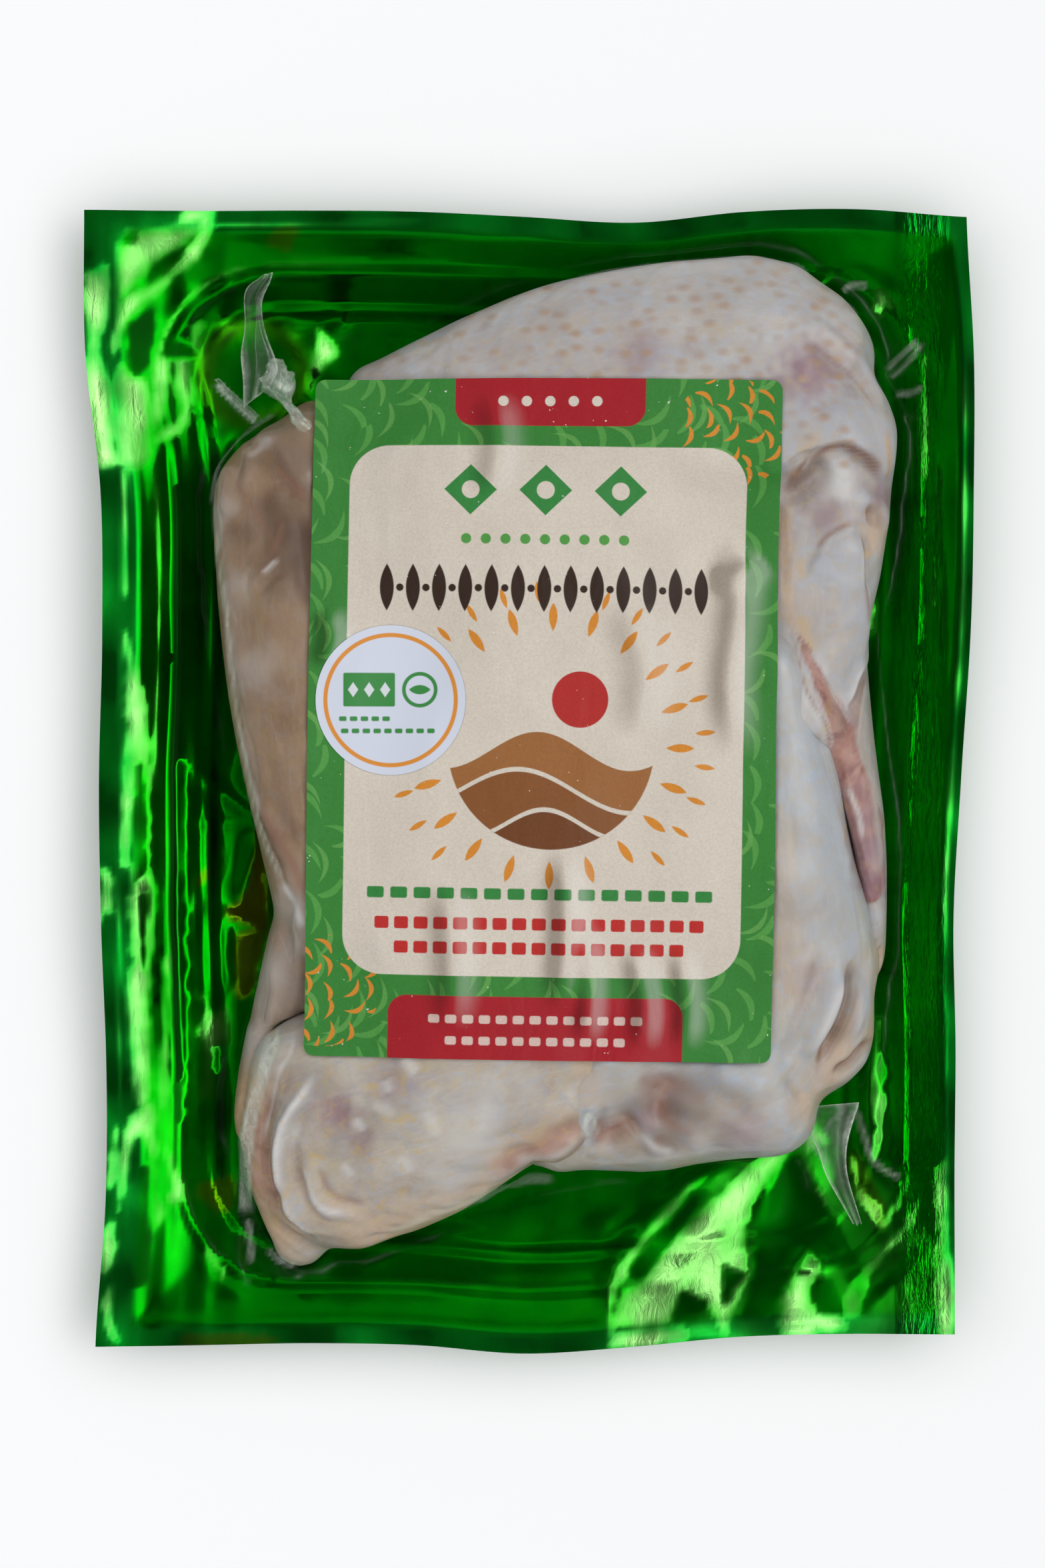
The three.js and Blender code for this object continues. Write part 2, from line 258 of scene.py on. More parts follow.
def lumps(at, size, seed, waves=28):
    """Gentle lumps of about the given size, between -1 and 1 or so."""
    draw = np.random.default_rng(seed)
    total = np.zeros(len(at))
    for _ in range(waves):
        turn, start = draw.uniform(0, 2 * np.pi, 2)
        rate = 2 * np.pi / (size * draw.uniform(0.7, 1.6))
        total += np.cos(rate * (at[:, 0] * np.cos(turn) + at[:, 1] * np.sin(turn)) + start)
    return total / np.sqrt(waves / 2) * 0.6


tried = lumps(np.random.default_rng(1).uniform(-90, 90, (2000, 2)), 12, 3)
print("lumps, from lowest to highest:", np.round(np.ptp(tried), 2))

# %% [markdown]
# ## The tray's form
#
# The tray is one sheet, drawn down in steps: a flat sealing rim, a fall to a bead, a second step and a
# floor. Its height depends only on how far a point is inside the rim, measured from a rectangle with
# round corners, so one profile gives the whole tray. The vacuum then pulls the cut edges in by a few
# millimetres, along smooth curves, and that shift is shared out over the sheet.

# %% The tray's sizes, and its height at any place
PACK_WIDTH, PACK_LENGTH = 195.4, 250.6
RIM = {"left": 8, "right": 3, "bottom": 4.5, "top": 4.5}
RIM_WAVE = 1.3
SEAL_CORNER, BEAD_INSIDE, BEAD_CORNER = 3, 7.4, 28
PROFILE_INSIDE = [0, 1.2, 7.4, 8.0, 8.6, 9.8, 15, 15.7, 16.4, 18, 21.5]
PROFILE_HEIGHT = [12, 11, 7.3, 7.7, 7.7, 6.3, 2.6, 2.85, 2.7, 1, 0]
DRAWN_BOTTOM = [1.6, 1.9, 2.4, 2.0, 0.1, 1.5, 3.8, 4.6, 4.5]
DRAWN_RIGHT = [4.5, 4.5, 4.1, 4.6, 2.8, 0.9, 0.3, 0.2, 1.9]
DRAWN_TOP = [0.1, 0.4, 0.4, 0.6, 1.6, 2.8, 0.6, 0.2, 1.9]
DRAWN_LEFT = [2.9, 5.0, 5.2, 4.2, 3.7, 4.5, 4.1, 0.6, 0.4]


def along_values(values, share):
    """The value at a share of the way along a row of evenly spaced values, on a smooth curve."""
    values = np.array(values, float)
    last = len(values) - 1
    place = np.clip(share, 0, 1) * last
    i = np.minimum(place.astype(int), last - 1)
    t = place - i
    p0, p1 = values[np.maximum(i - 1, 0)], values[i]
    p2, p3 = values[i + 1], values[np.minimum(i + 2, last)]
    v0, v1 = (p2 - p0) / 2, (p3 - p1) / 2
    return ((2 * p1 - 2 * p2 + v0 + v1) * t**3 + (-3 * p1 + 3 * p2 - 2 * v0 - v1) * t**2
            + v0 * t + p1)


def drawn_in(x, y):
    across, up = x / PACK_WIDTH + 0.5, y / PACK_LENGTH + 0.5
    left = -PACK_WIDTH / 2 + along_values(DRAWN_LEFT, up)
    right = PACK_WIDTH / 2 - along_values(DRAWN_RIGHT, up)
    low = -PACK_LENGTH / 2 + along_values(DRAWN_BOTTOM, across)
    high = PACK_LENGTH / 2 - along_values(DRAWN_TOP, across)
    return left + (right - left) * across, low + (high - low) * up


def inside(x, y, inset, corner):
    """How far a point is inside the rim's rectangle, made smaller by inset, with round corners."""
    x0, x1 = -PACK_WIDTH / 2 + RIM["left"] + inset, PACK_WIDTH / 2 - RIM["right"] - inset
    y0, y1 = -PACK_LENGTH / 2 + RIM["bottom"] + inset, PACK_LENGTH / 2 - RIM["top"] - inset
    dx = np.abs(x - (x0 + x1) / 2) - (x1 - x0) / 2 + corner
    dy = np.abs(y - (y0 + y1) / 2) - (y1 - y0) / 2 + corner
    return corner - np.hypot(np.maximum(dx, 0), np.maximum(dy, 0)) - np.minimum(np.maximum(dx, dy), 0)


def tray_height(x, y):
    seal = inside(x, y, 0, SEAL_CORNER)
    bead = inside(x, y, BEAD_INSIDE, BEAD_CORNER)
    share = np.clip(seal / np.maximum(seal - bead, 0.01), 0, 1)
    depth = np.where(bead > 0, BEAD_INSIDE + bead, BEAD_INSIDE * share)
    height = np.interp(np.where(seal > 0, depth, 0), PROFILE_INSIDE, PROFILE_HEIGHT)
    lift = 0.7 * np.sin(x / 19 + y / 37) + 0.5 * np.sin(y / 13 - x / 29 + 1)
    return height + RIM_WAVE * lift * (height / RIM_HEIGHT) ** 2


def middle_of(box):
    low, high = box
    return [(a + b) / 2 / MM for a, b in zip(low, high)]


flat_x, flat_y = [g.ravel() for g in np.meshgrid(
    np.linspace(-PACK_WIDTH / 2, PACK_WIDTH / 2, 60), np.linspace(-PACK_LENGTH / 2, PACK_LENGTH / 2, 60))]
drawn_x, drawn_y = drawn_in(flat_x, flat_y)
tray_middle = middle_of(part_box("foil_tray"))
SHIFT = np.array([tray_middle[0] - (drawn_x.min() + drawn_x.max()) / 2,
                  tray_middle[1] - (drawn_y.min() + drawn_y.max()) / 2])
print("the frame's centre is shifted by", np.round(SHIFT, 2), "mm")

# %% [markdown]
# ## The foil
#
# The real tray is a mirror-like foil under film. The folds that the photo shows are modelled, as creases
# with straight flanks: a crumpled corner at the lower right, a star of creases at the left, a round dent
# at the upper left. A fine grid is laid over the form, and Solidify gives it the foil's thickness. What
# a mirror shows depends on slopes of a few degrees, far finer than any fold that can be measured in one
# photo. So the bright patches are outlined instead, and there the normals lean towards the window; the
# hearts of these patches also get a painted highlight, a paler base colour.

# %% The foil's folds, in mm: line, height, width and further sizes
FOIL = 0.6
FOIL_FOLDS = {"trough": [
    ([(46, -91), (37, -97), (29, -104), (25, -109)], 2.4, 2.6, 6.5),
], "crease": [
    # the crumpled corner at the lower right
    ([(60, -80), (64, -90), (67, -96), (70, -104)], 3.2, 5),
    ([(57, -80), (52, -91), (51, -98), (49, -108), (48, -118)], 3, 6),
    ([(63, -102), (57, -110), (54, -121)], 2.6, 5), ([(63, -102), (65, -110), (71, -122)], 2.8, 5),
    ([(68, -110), (77, -104), (90, -100)], 2.2, 4), ([(70, -118), (80, -109), (90, -101)], 2.6, 5),
    ([(71, -80), (73, -87), (77, -91), (77, -103)], 2, 3.5),
    ([(73, -82), (78, -86), (82, -88), (84, -87)], 1.6, 2.5), ([(84, -88), (82, -95), (77, -103)], 1.8, 3),
    ([(77, -50), (79, -62), (79, -72), (77, -86)], 1.5, 2.5), ([(36, -98), (24, -106), (18, -119)], 2, 6),
    ([(44, -100), (38, -108), (40, -119)], 1.8, 4), ([(30, -110), (37, -114), (47, -112)], 1.6, 4),
    ([(12, -104), (20, -96), (34, -90)], 1.2, 5),
    # the star and the long creases at the left
    ([(-60, -9), (-67, -3), (-75, 4)], 1.3, 2.6), ([(-60, -9), (-67, -9), (-75, -9)], 1, 2.2),
    ([(-60, -9), (-62, -19), (-66, -29)], 2.6, 4), ([(-59, -10), (-58, -21), (-58, -33)], 2, 3),
    ([(-67, -29), (-62, -31), (-58, -34)], 1.8, 3), ([(-66, -29), (-67, -38), (-66, -48)], 1.6, 3),
    ([(-80, 66), (-79, 40), (-81, 12), (-80, -18)], 0.7, 1.6),
    ([(-74, 20), (-72, -14), (-75, -44)], 0.8, 2.4),
    ([(-84, 30), (-83, 0), (-86, -34), (-84, -60)], 0.8, 1.8),
    # the top and the upper right
    ([(-84, 100), (-70, 108), (-50, 110)], 0.9, 2.5), ([(-52, 96), (-44, 99), (-38, 106)], 1.1, 2.4),
    ([(-72, 84), (-79, 78), (-84, 66)], 1, 2.4), ([(78, 92), (84, 95), (90, 94)], 1.4, 2.2),
    ([(69, 104), (75, 101), (82, 96)], 1.5, 3), ([(62, 110), (72, 112), (84, 104)], 1, 3),
    ([(80, 78), (84, 60), (83, 30), (84, 0)], 0.9, 1.8), ([(-10, 111), (20, 112), (50, 113)], 0.5, 2),
    # the bottom
    ([(-30, -104), (-15, -100), (6, -99)], 0.8, 4), ([(-10, -96), (8, -93), (26, -94)], 0.7, 3),
    ([(-22, -112), (-2, -109), (14, -111)], 0.6, 4), ([(-72, -96), (-70, -108), (-60, -114)], 1, 3),
]}
DENT_PLACE, DENT_RADIUS, DENT_RAYS = np.array([-61.0, 90.5]), 10.5, 9
# Crumpled places: place, reach and share
CRUMPLED = [((52, -104), 26, 1), ((84, -96), 14, 1), ((-60, 100), 18, 0.4)]
FOLD_SHARE = 0.5

# %% Where the foil leans towards the window with a painted highlight, lies level, or gets a painted yellow reflection, in mm
LEANING = [
    (0.42, [(17, -121), (20, -108), (33, -94), (45, -85.5), (60, -80.5), (75, -84), (87, -98),
     (88, -121)]),
    (1, [(39.4, -87.6), (36.6, -88.4), (33.4, -91.1), (29.6, -95.4), (20.9, -105.2), (17.3, -111.2),
     (17.3, -120.5), (18.8, -120.5), (19.5, -111.8), (22.2, -109.6), (22.8, -106.3), (29, -98.7),
     (32.8, -95.4), (34.5, -92.2), (38.3, -89.5)]),
    (0.9, [(60, -80.2), (54, -81.6), (48.6, -84.6), (43.2, -90), (36.1, -96.5), (30.7, -102), (25, -109.6),
     (19.8, -112.8), (18.8, -119.6), (32.3, -119.4), (35.6, -117.2), (38.8, -115), (41, -118.8),
     (43.2, -121.5), (45.3, -117.2), (47.5, -111.8), (48.7, -107.9), (48.1, -100.9), (50.2, -93.3),
     (54, -87.3)]),
    (0.9, [(61.6, -103.1), (64.1, -105.2), (63.3, -109), (61.9, -111.8), (63.3, -115), (67.1, -116.1),
     (69.8, -120.2), (55.1, -120.3), (54.6, -115), (57.8, -108.5)]),
    (1, [(69.3, -111.8), (73.1, -106.3), (78, -102), (82.9, -95.4), (85.6, -92.2), (84.5, -96.5),
     (82.3, -100.3), (76.9, -105.8), (73.6, -113.4), (72, -117.2), (68.7, -116.6)]),
    (0.35, [(74.2, -115), (88.3, -102.5), (88.3, -120.5), (70.9, -120.5)]),
    (1, [(76.3, -62.8), (78.8, -62.8), (79.2, -69.3), (78, -79.1), (76.9, -84), (75.5, -82.4),
     (76.4, -76.4), (75.2, -69.3)]),
    (0.8, [(61.4, -73.7), (64.9, -76.4), (67.1, -80.8), (63.8, -81.3), (61.9, -83.5), (63.6, -88.9),
     (66.5, -93.3), (66.3, -96), (63.3, -92.2), (61, -85.7), (60.6, -79.1)]),
    (0.9, [(70.3, -81.3), (72.8, -82.9), (73.3, -88.9), (77.7, -93.3), (77.4, -98.2), (73.1, -94.4),
     (71.7, -88.4)]),
    (0.9, [(83.4, -87.3), (82.6, -92.2), (78, -98.4), (78.8, -94.9), (81.5, -89.5)]),
    (1, [(88.8, -84.6), (91.6, -83.5), (91.3, -98.7), (88.8, -99.8)]),
    (1, [(88.6, -100.3), (91.6, -99.8), (93.2, -120.7), (88.6, -120.7)]),
    (1, [(18.7, -120.7), (32.8, -119.4), (34.5, -122.6), (23.6, -124.8), (17.6, -123.7)]),
    (1, [(55.1, -118.3), (63.3, -117.7), (63, -121.3), (55.1, -121.5)]),
    (1, [(-68.8, 125.9), (-68.8, 121.1), (-72, 115.2), (-76.7, 111.3), (-82.2, 106.2), (-87, 101.8),
     (-90.5, 95.9), (-91.1, 90.8), (-91.4, 98.3), (-88.9, 105.8), (-85.4, 107.8), (-79.9, 111.7),
     (-74.7, 117.6), (-72, 121.1), (-74.4, 124.3)]),
    (0.62, [(-88.5, 120.9), (-76.7, 121.7), (-72, 120.7), (-76.7, 116.4), (-82.2, 113.3), (-87, 107.8),
     (-90.1, 106.2), (-90.5, 115.2)]),
    (1, [(-90.5, 92.8), (-86.2, 89.4), (-84, 87.3), (-83.1, 77), (-83.4, 69.5), (-89.7, 69.5),
     (-90.9, 84.9)]),
    (0.9, [(-82, 95.6), (-80.5, 94), (-78.9, 88.9), (-81.8, 77.8), (-82.7, 84.9)]),
    (0.7, [(-78.3, 93.6), (-74.7, 93.2), (-74.3, 81), (-76.7, 76.7), (-81.4, 74.1), (-82.2, 75.9),
     (-76.7, 81.4), (-78.5, 86.9)]),
    (1, [(-98, 111.3), (-92.1, 113.3), (-92, 101.5), (-94.4, 94.8), (-91.4, 85.7), (-90.5, 73.1),
     (-90.1, 69.5), (-95.4, 69.5), (-97.7, 88.9), (-96.4, 96.7), (-98.1, 104.6)]),
    (1, [(-75.1, 125.8), (-68.8, 125.8), (-69.2, 122.7), (-76.7, 122.3)]),
    (0.8, [(-74.7, 100.7), (-72, 101.1), (-72.8, 94.4), (-74.7, 94.4)]),
    (1, [(-46.8, 100.7), (-44.8, 99.1), (-41.7, 94.8), (-45.2, 92), (-48.4, 87.3), (-48.3, 92.8)]),
    (0.9, [(-93.9, -18.7), (-92.3, -18.7), (-90.9, -21.1), (-90.7, -28.6), (-92.5, -29), (-94.2, -31.4),
     (-93.8, -24.8)]),
    (1, [(-89, 3.3), (-87.1, 3.3), (-87.4, -16.4), (-88.1, -18.7), (-89.3, -17.3), (-89.4, -6.1)]),
    (0.95, [(-87.9, -24.8), (-85.5, -23.4), (-84.1, -21.1), (-82.9, -18.2), (-82.7, -22.9), (-82.9, -38.9),
     (-83.2, -48.2), (-83.4, -70.2), (-86.4, -70.2), (-87.6, -55.3), (-87.9, -43.6), (-86.9, -38.9)]),
    (1, [(-83.9, 3.3), (-82.6, 3.3), (-82.5, -6.1), (-82.8, -16.4), (-83.3, -14.5), (-83.2, -3.7)]),
    (0.75, [(-79.9, -41.2), (-78.6, -36.5), (-78.9, -48.2), (-79.3, -70.2), (-81.2, -70.2),
     (-80.5, -55.3)]),
    (0.6, [(-73.8, -45.4), (-71.4, -47.3), (-69.6, -50.6), (-67.2, -49.6), (-65.8, -57.1), (-67.7, -60),
     (-67.2, -67), (-69.1, -70.2), (-72.9, -70.2), (-71.9, -62.3), (-73.3, -55.3), (-72.4, -50.6)]),
    (0.9, [(-60, -9.8), (-59.2, -15.4), (-58.6, -32.8), (-62.1, -31.4), (-64.4, -30), (-66.5, -28.6),
     (-63, -25.7), (-60.7, -17.8)]),
    (0.75, [(-64.2, -34.2), (-58.8, -33.5), (-60.7, -41.2), (-62.1, -46.8), (-64.4, -46.4)]),
    (1, [(-92.3, -81.4), (-90.2, -75.8), (-90.4, -87), (-92.6, -88.7)]),
    (1, [(-93.5, -98.3), (-90.9, -96.6), (-91.2, -106.7), (-93.9, -107.3)]),
    (1, [(-93.8, -112.9), (-91.5, -110.7), (-91.2, -118.5), (-89.8, -123), (-92.2, -120.8)]),
    (0.9, [(-87.8, -73.5), (-82.8, -70.2), (-81.8, -81.4), (-82.2, -88.7), (-80.1, -94.9), (-82.1, -98.3),
     (-82.7, -87), (-83.4, -80.3), (-86.2, -78.6), (-88.1, -87), (-89.8, -93.8), (-89.8, -81.4)]),
    (1, [(-80.3, -78.6), (-77.7, -84.8), (-74.8, -91.5), (-77.2, -92.7), (-79.3, -91), (-78.2, -88.7)]),
    (0.9, [(-67.6, -106.7), (-66.6, -107), (-67, -109.5), (-67.8, -109.3)]),
    (0.8, [(-70.4, -101.7), (-68.2, -106.2), (-69, -107.3), (-71.3, -103.9)]),
    (1, [(76.2, 108.4), (77.1, 108.1), (80.8, 104.5), (80.3, 103.7), (78.4, 104.3), (77.3, 102.4),
     (76, 104.1)]),
    (0.8, [(64.6, 110.1), (66.3, 111.5), (66.5, 110.8), (64.8, 109.3)]),
    (0.9, [(74.9, 47.5), (76.6, 47.1), (77, 35.7), (75.7, 31.5), (73.8, 41.6)]),
    (1, [(-88.5, 33), (-87.1, 29.4), (-84.5, 21), (-83.3, 12.6), (-83, 4.2), (-84.5, -1.8), (-86.2, -5.4),
     (-87.8, -15), (-88.3, -7.8), (-88.5, 9), (-88.6, 21)]),
    (0.9, [(-87.1, -17.4), (-83.3, -19.8), (-82.1, -22.2), (-82.3, -34.2), (-83.5, -39), (-86.8, -34.2)]),
    (0.9, [(77.7, -54.5), (78.5, -61.2), (78.9, -68.7), (76.6, -68.7), (77, -58.7)]),
]
# Thin bright lines, where the normals lean towards the window and the colour gets a little painted
# highlight: line, half width and strength
THREADS = [
    ([(-88.6, 71.4), (-88.5, 54.6), (-88.4, 39)], 0.7, 1),
    ([(-89.5, 37.8), (-89.2, -3), (-89.7, -39), (-89.5, -75)], 0.5, 0.5),
    ([(-82.1, 71.4), (-81.5, 54.6), (-81.3, 29.4), (-81.8, 9), (-81.6, -7.8)], 0.6, 0.8),
    ([(-78.5, 1.8), (-78.7, -22.2), (-78.5, -48.6)], 0.6, 0.45),
    ([(-74.6, -15), (-73.9, -34.2), (-72.5, -51), (-72.9, -75)], 0.6, 0.4),
    ([(87.1, 95.6), (87.1, 77.7), (87.3, 64.9)], 0.7, 1),
    ([(88.3, 62.9), (88.9, 48), (89.1, 36.1)], 0.5, 0.5),
    ([(90.1, 71.8), (90.5, 52), (90.9, 26.2)], 0.5, 0.45),
    ([(95.5, 95.6), (95.3, 67.8), (94.9, 48), (94.2, 28.2), (92.3, -1.5), (91.3, -21.3), (90.5, -41.1)],
     0.7, 0.9),
    ([(77.4, -51), (77, -58.9), (76.6, -66.9)], 1.2, 0.9),
    ([(74.5, 48), (74.7, 40.1), (75, 33.2)], 1.2, 0.8),
    ([(-81.8, 121.5), (-64.1, 121.8), (-39.4, 122.2), (-21.7, 122.3)], 0.6, 0.6),
    ([(-58.8, 113.7), (-48.2, 114), (-34.1, 114.2)], 0.5, 0.6),
    ([(-89.8, 119.7), (-89.9, 107.3), (-90.3, 93.2)], 0.6, 1),
    ([(-82.5, 73.7), (-82.3, 87.9), (-80, 98.5), (-74.7, 106.4), (-67.7, 111.3), (-59.7, 113.5)], 0.6,
     0.8),
]
LEVEL = [
    [(38.8, -90), (36.1, -91.1), (34.5, -93.8), (23.6, -105.8), (22.5, -109), (23.6, -109.8),
     (26.9, -107.4), (35.6, -96.5), (39.4, -91.6)],
    [(42.6, -106.3), (47.2, -108.1), (43.2, -114.5), (42.1, -112.8)],
    [(33.4, -111.8), (38.3, -113.4), (38.8, -115), (36.1, -117.2), (32.8, -119.4), (31.2, -117.2)],
    [(50.8, -93.8), (58.9, -82.4), (61.6, -88.9), (67.1, -96.5), (70.3, -102), (72, -105.8),
     (64.9, -106.3), (61.6, -103.1), (56.2, -109.6), (53, -117.2), (51.9, -121.5), (44.8, -121.5),
     (48.1, -113.4), (49.7, -106.3)],
    [(63.3, -109.6), (67.1, -109.6), (69.8, -120.5), (65.2, -120.5), (62.8, -114.5)],
    [(73.3, -113.4), (88.8, -98.2), (88.8, -100.9), (73.6, -115.6)],
    [(32.8, -119.6), (41, -119.4), (42.1, -122.1), (35, -122.4)],
    [(-89.7, 120.7), (-86.2, 120.4), (-86.2, 118), (-89.3, 117.6)],
    [(-88.1, 100.7), (-82.2, 103.8), (-83, 94.8), (-85.4, 88.9), (-88.1, 90.4)],
    [(-81, 97.5), (-74.4, 96.7), (-73.6, 93.6), (-79.1, 93.6)],
    [(-85.5, -25.7), (-83.9, -24.8), (-83.7, -38.9), (-84.9, -41.2)],
    [(-87, 3.3), (-84.1, 3.3), (-83.4, -17.3), (-86, -22.5), (-87.6, -23.4), (-87, -10.7)],
    [(-70, -58.5), (-67.9, -60), (-68.5, -67), (-70, -63.2)],
    [(-66.3, -30.4), (-62.5, -31.1), (-58.8, -33), (-61.6, -33.8), (-64.9, -33.3)],
    [(-78.5, 3.3), (-75.7, 3.3), (-75.4, -29.5), (-75.7, -70.2), (-78.2, -70.2), (-77.5, -29.5)],
    [(-70.5, 97), (-64, 101.5), (-57, 101), (-51.5, 96), (-50, 90), (-54, 83), (-61, 79.5), (-69, 82),
     (-72, 90)],
    [(-88.4, -88.7), (-83.9, -83.7), (-83.1, -93.8), (-83.4, -109.5), (-89, -109.5), (-89.3, -98.3)],
]
# Painted yellow reflection: strength and outline of each place where the foil's base colour turns
# yellow-green
PAINTED_YELLOW_REFLECTIONS = [
    (1, [(-60, -9.6), (-58.6, -15.4), (-58.1, -33.2), (-62.1, -31.4), (-64.9, -30.4), (-67, -28.6),
     (-63, -25.3), (-60.9, -17.8)]),
    (0.8, [(-64.7, -33.7), (-58.6, -33.2), (-60.4, -41.2), (-61.8, -47.3), (-64.9, -46.8)]),
    (0.3, [(70.3, -80.8), (73.1, -82.4), (78, -93.3), (77.4, -98.2), (72, -90)]),
    (0.35, [(-55.5, 121.1), (-51.1, 121.1), (-52.3, 116.8), (-57, 118)]),
    (0.5, [(-73.2, -89.3), (-65.9, -87.6), (-65.4, -93.8), (-68.2, -94.9), (-71.5, -93.2)]),
    (0.5, [(-75.5, -121.1), (-56.9, -121.1), (-57.5, -123.6), (-75.5, -123.6)]),
    (0.4, [(-73.8, -21.1), (-69.6, -19.2), (-69.6, -21.1), (-73.3, -22.9)]),
]

# %% The foil's relief
def worley_creases(at, cell, seed):
    """Straight creases between seeded cells, from 0 in a cell's middle to 1 on a crease."""
    draw = np.random.default_rng(seed)
    low, high = at.min(axis=0) - 2 * cell, at.max(axis=0) + 2 * cell
    seeds = draw.uniform(low, high, (int(np.prod((high - low) / cell)), 2))
    nearest, second = np.full(len(at), 1e9), np.full(len(at), 1e9)
    for place in seeds:
        distance = np.hypot(*(at - place).T)
        second = np.minimum(second, np.maximum(distance, nearest))
        nearest = np.minimum(nearest, distance)
    return np.clip(1 - (second - nearest) / cell, 0, 1)


def near(at, place, reach):
    return np.exp(-(((at - np.array(place)) ** 2).sum(axis=1) / reach**2))


def wall_streaks(at):
    """Long shallow waves that run along each side, as drawn foil has."""
    beside_left, beside_right = soft_step(-at[:, 0], 58, 70), soft_step(at[:, 0], 72, 80)
    beside_top, beside_bottom = soft_step(at[:, 1], 92, 102), soft_step(-at[:, 1], 88, 100)
    upright, level = at * [1, 0.13], at * [0.13, 1]
    return (0.3 * beside_left * lumps(upright, 9, 81) + 0.1 * beside_left * lumps(upright, 4, 82)
            + 0.16 * beside_right * lumps(upright, 6, 83)
            + 0.16 * beside_top * lumps(level, 8, 84) + 0.14 * beside_bottom * lumps(level, 9, 85))


def foil_relief(at):
    folds = relief(at, FOIL_FOLDS)
    off = at - DENT_PLACE
    distance, turn = np.hypot(*off.T), np.arctan2(off[:, 1], off[:, 0])
    dent = 0.8 * np.exp(-(((distance - DENT_RADIUS) / 2.2) ** 2))
    dent += 0.5 * np.cos(DENT_RAYS * turn + 0.3 * distance) * np.exp(-(((distance - 14) / 4) ** 2))
    crumple = worley_creases(at, 19, 11) ** 2
    crumpled = sum(share * near(at, place, reach) for place, reach, share in CRUMPLED)
    soft = 0.2 * lumps(at, 30, 5) + 0.05 * lumps(at, 11, 6)
    return FOLD_SHARE * (folds + dent) + 0.3 * crumple * crumpled + soft + wall_streaks(at)


# %% Leaning the foil
WINDOW = np.array([720, 50, 1000])
EYE = np.array([*CAMERA_PLACE, CAMERA_RISE + RIM_HEIGHT])
PATCH_EDGE, PATCH_GLOW = 0.8, 3.5
TINY = 1e-12


def patch_depth(at, outline, reach=6.0):
    """How far a point lies inside a smooth closed outline, and below zero outside it."""
    line = smooth_line([*outline, outline[0]], 3)
    low, high = line.min(axis=0) - reach, line.max(axis=0) + reach
    chosen = np.where(((at > low) & (at < high)).all(axis=1))[0]
    x, y = at[chosen].T
    within = np.zeros(len(chosen), bool)
    distance = np.full(len(chosen), 1e9)
    for a, b in zip(line[:-1], line[1:]):
        off_x, off_y, step = x - a[0], y - a[1], b - a
        spans = (a[1] > y) != (b[1] > y)
        within ^= spans & (x < step[0] * off_y / (step[1] + TINY) + a[0])
        share = np.clip((off_x * step[0] + off_y * step[1]) / (step @ step + TINY), 0, 1)
        distance = np.minimum(distance, np.hypot(off_x - share * step[0], off_y - share * step[1]))
    depth = np.full(len(at), -reach)
    depth[chosen] = np.where(within, distance, -distance) + 0.3 * lumps(at[chosen], 5, 93)
    return depth


def patch_share(at, outline, edge=0.9):
    return soft_step(patch_depth(at, outline), -edge, edge)


def slopes_towards(at, place):
    """How a mirror at each point must slope to show that place to the eye."""
    def unit(v):
        return v / np.linalg.norm(v, axis=1)[:, None]
    points = np.column_stack([at, np.full(len(at), RIM_HEIGHT / 2)])
    half = unit(place - points) + unit(EYE - points)
    return half[:, :2] / half[:, 2:]


def leaning(at, facing, rim):
    """What to add to the normal of each point, and how much painted highlight, a paler base colour, it
    gets.
    """
    own = facing[:, :2] / facing[:, 2:]
    share, core = np.zeros(len(at)), np.zeros(len(at))
    for strength, outline in LEANING:
        depth = patch_depth(at, outline)
        sharp, glow = [soft_step(depth, -reach, PATCH_EDGE) for reach in (PATCH_EDGE, PATCH_GLOW)]
        share = np.maximum(share, strength * (0.85 * sharp + 0.15 * glow))
        core = np.maximum(core, (strength > 0.5) * strength * soft_step(depth, 0.3, 3.2))
    for line, width, strength in THREADS:
        distance, _, way = along_line(at, line)
        share = np.maximum(share, strength * np.exp(-((distance / width) ** 2)) * ends_off(way, 0.1))
    level = 0.75 * rim
    for outline in LEVEL:
        level = np.maximum(level, patch_share(at, outline))
    kept = 1 - level * (1 - rim)
    share, core = share * kept * (0.9 + 0.1 * lumps(at, 9, 94)), core * kept
    sway = 0.12 * np.column_stack([lumps(at, 18, 91), lumps(at, 15, 92)])
    towards = slopes_towards(at, WINDOW) + sway
    flat = slopes_towards(at, EYE) + sway
    lean = share[:, None] * (towards - own) + (level * (1 - share))[:, None] * 0.85 * (flat - own)
    uneven = np.clip(0.75 + 0.5 * lumps(at * [1, 0.6], 11, 95), 0, 1)
    # Painted highlight: the hearts of the bright patches, and a little of every leaning patch and bright
    # line, get a paler base colour
    pale = (0.2 * share**2 + (0.6 + 0.3 * rim) * core) * uneven
    return lean, np.clip(pale, 0, 1)


# %% The foil tray
FOIL_COLUMNS, FOIL_ROWS = 190, 244

foil, _ = add_sheet("tray_foil", FOIL_COLUMNS, FOIL_ROWS)
grid = places(foil) * MM
sheet_x, sheet_y = grid[:, 0] * PACK_WIDTH / 2, grid[:, 1] * PACK_LENGTH / 2
at = np.column_stack(drawn_in(sheet_x, sheet_y)) + SHIFT
rim_share = soft_step(inside(sheet_x, sheet_y, 0, SEAL_CORNER), -4, 3)
height = tray_height(sheet_x, sheet_y) + foil_relief(at) * (0.25 + 0.75 * rim_share)
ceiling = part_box("foil_tray")[1][2] / MM
height = np.clip(height, 0, ceiling - FOIL) + FOIL
move_to(foil, np.column_stack([at, height]))
seal_rim = 1 - soft_step(inside(sheet_x, sheet_y, 0, SEAL_CORNER), -1.5, 1)
lean, pale = leaning(at, normals(foil), seal_rim)
paint(foil, "pale", pale)
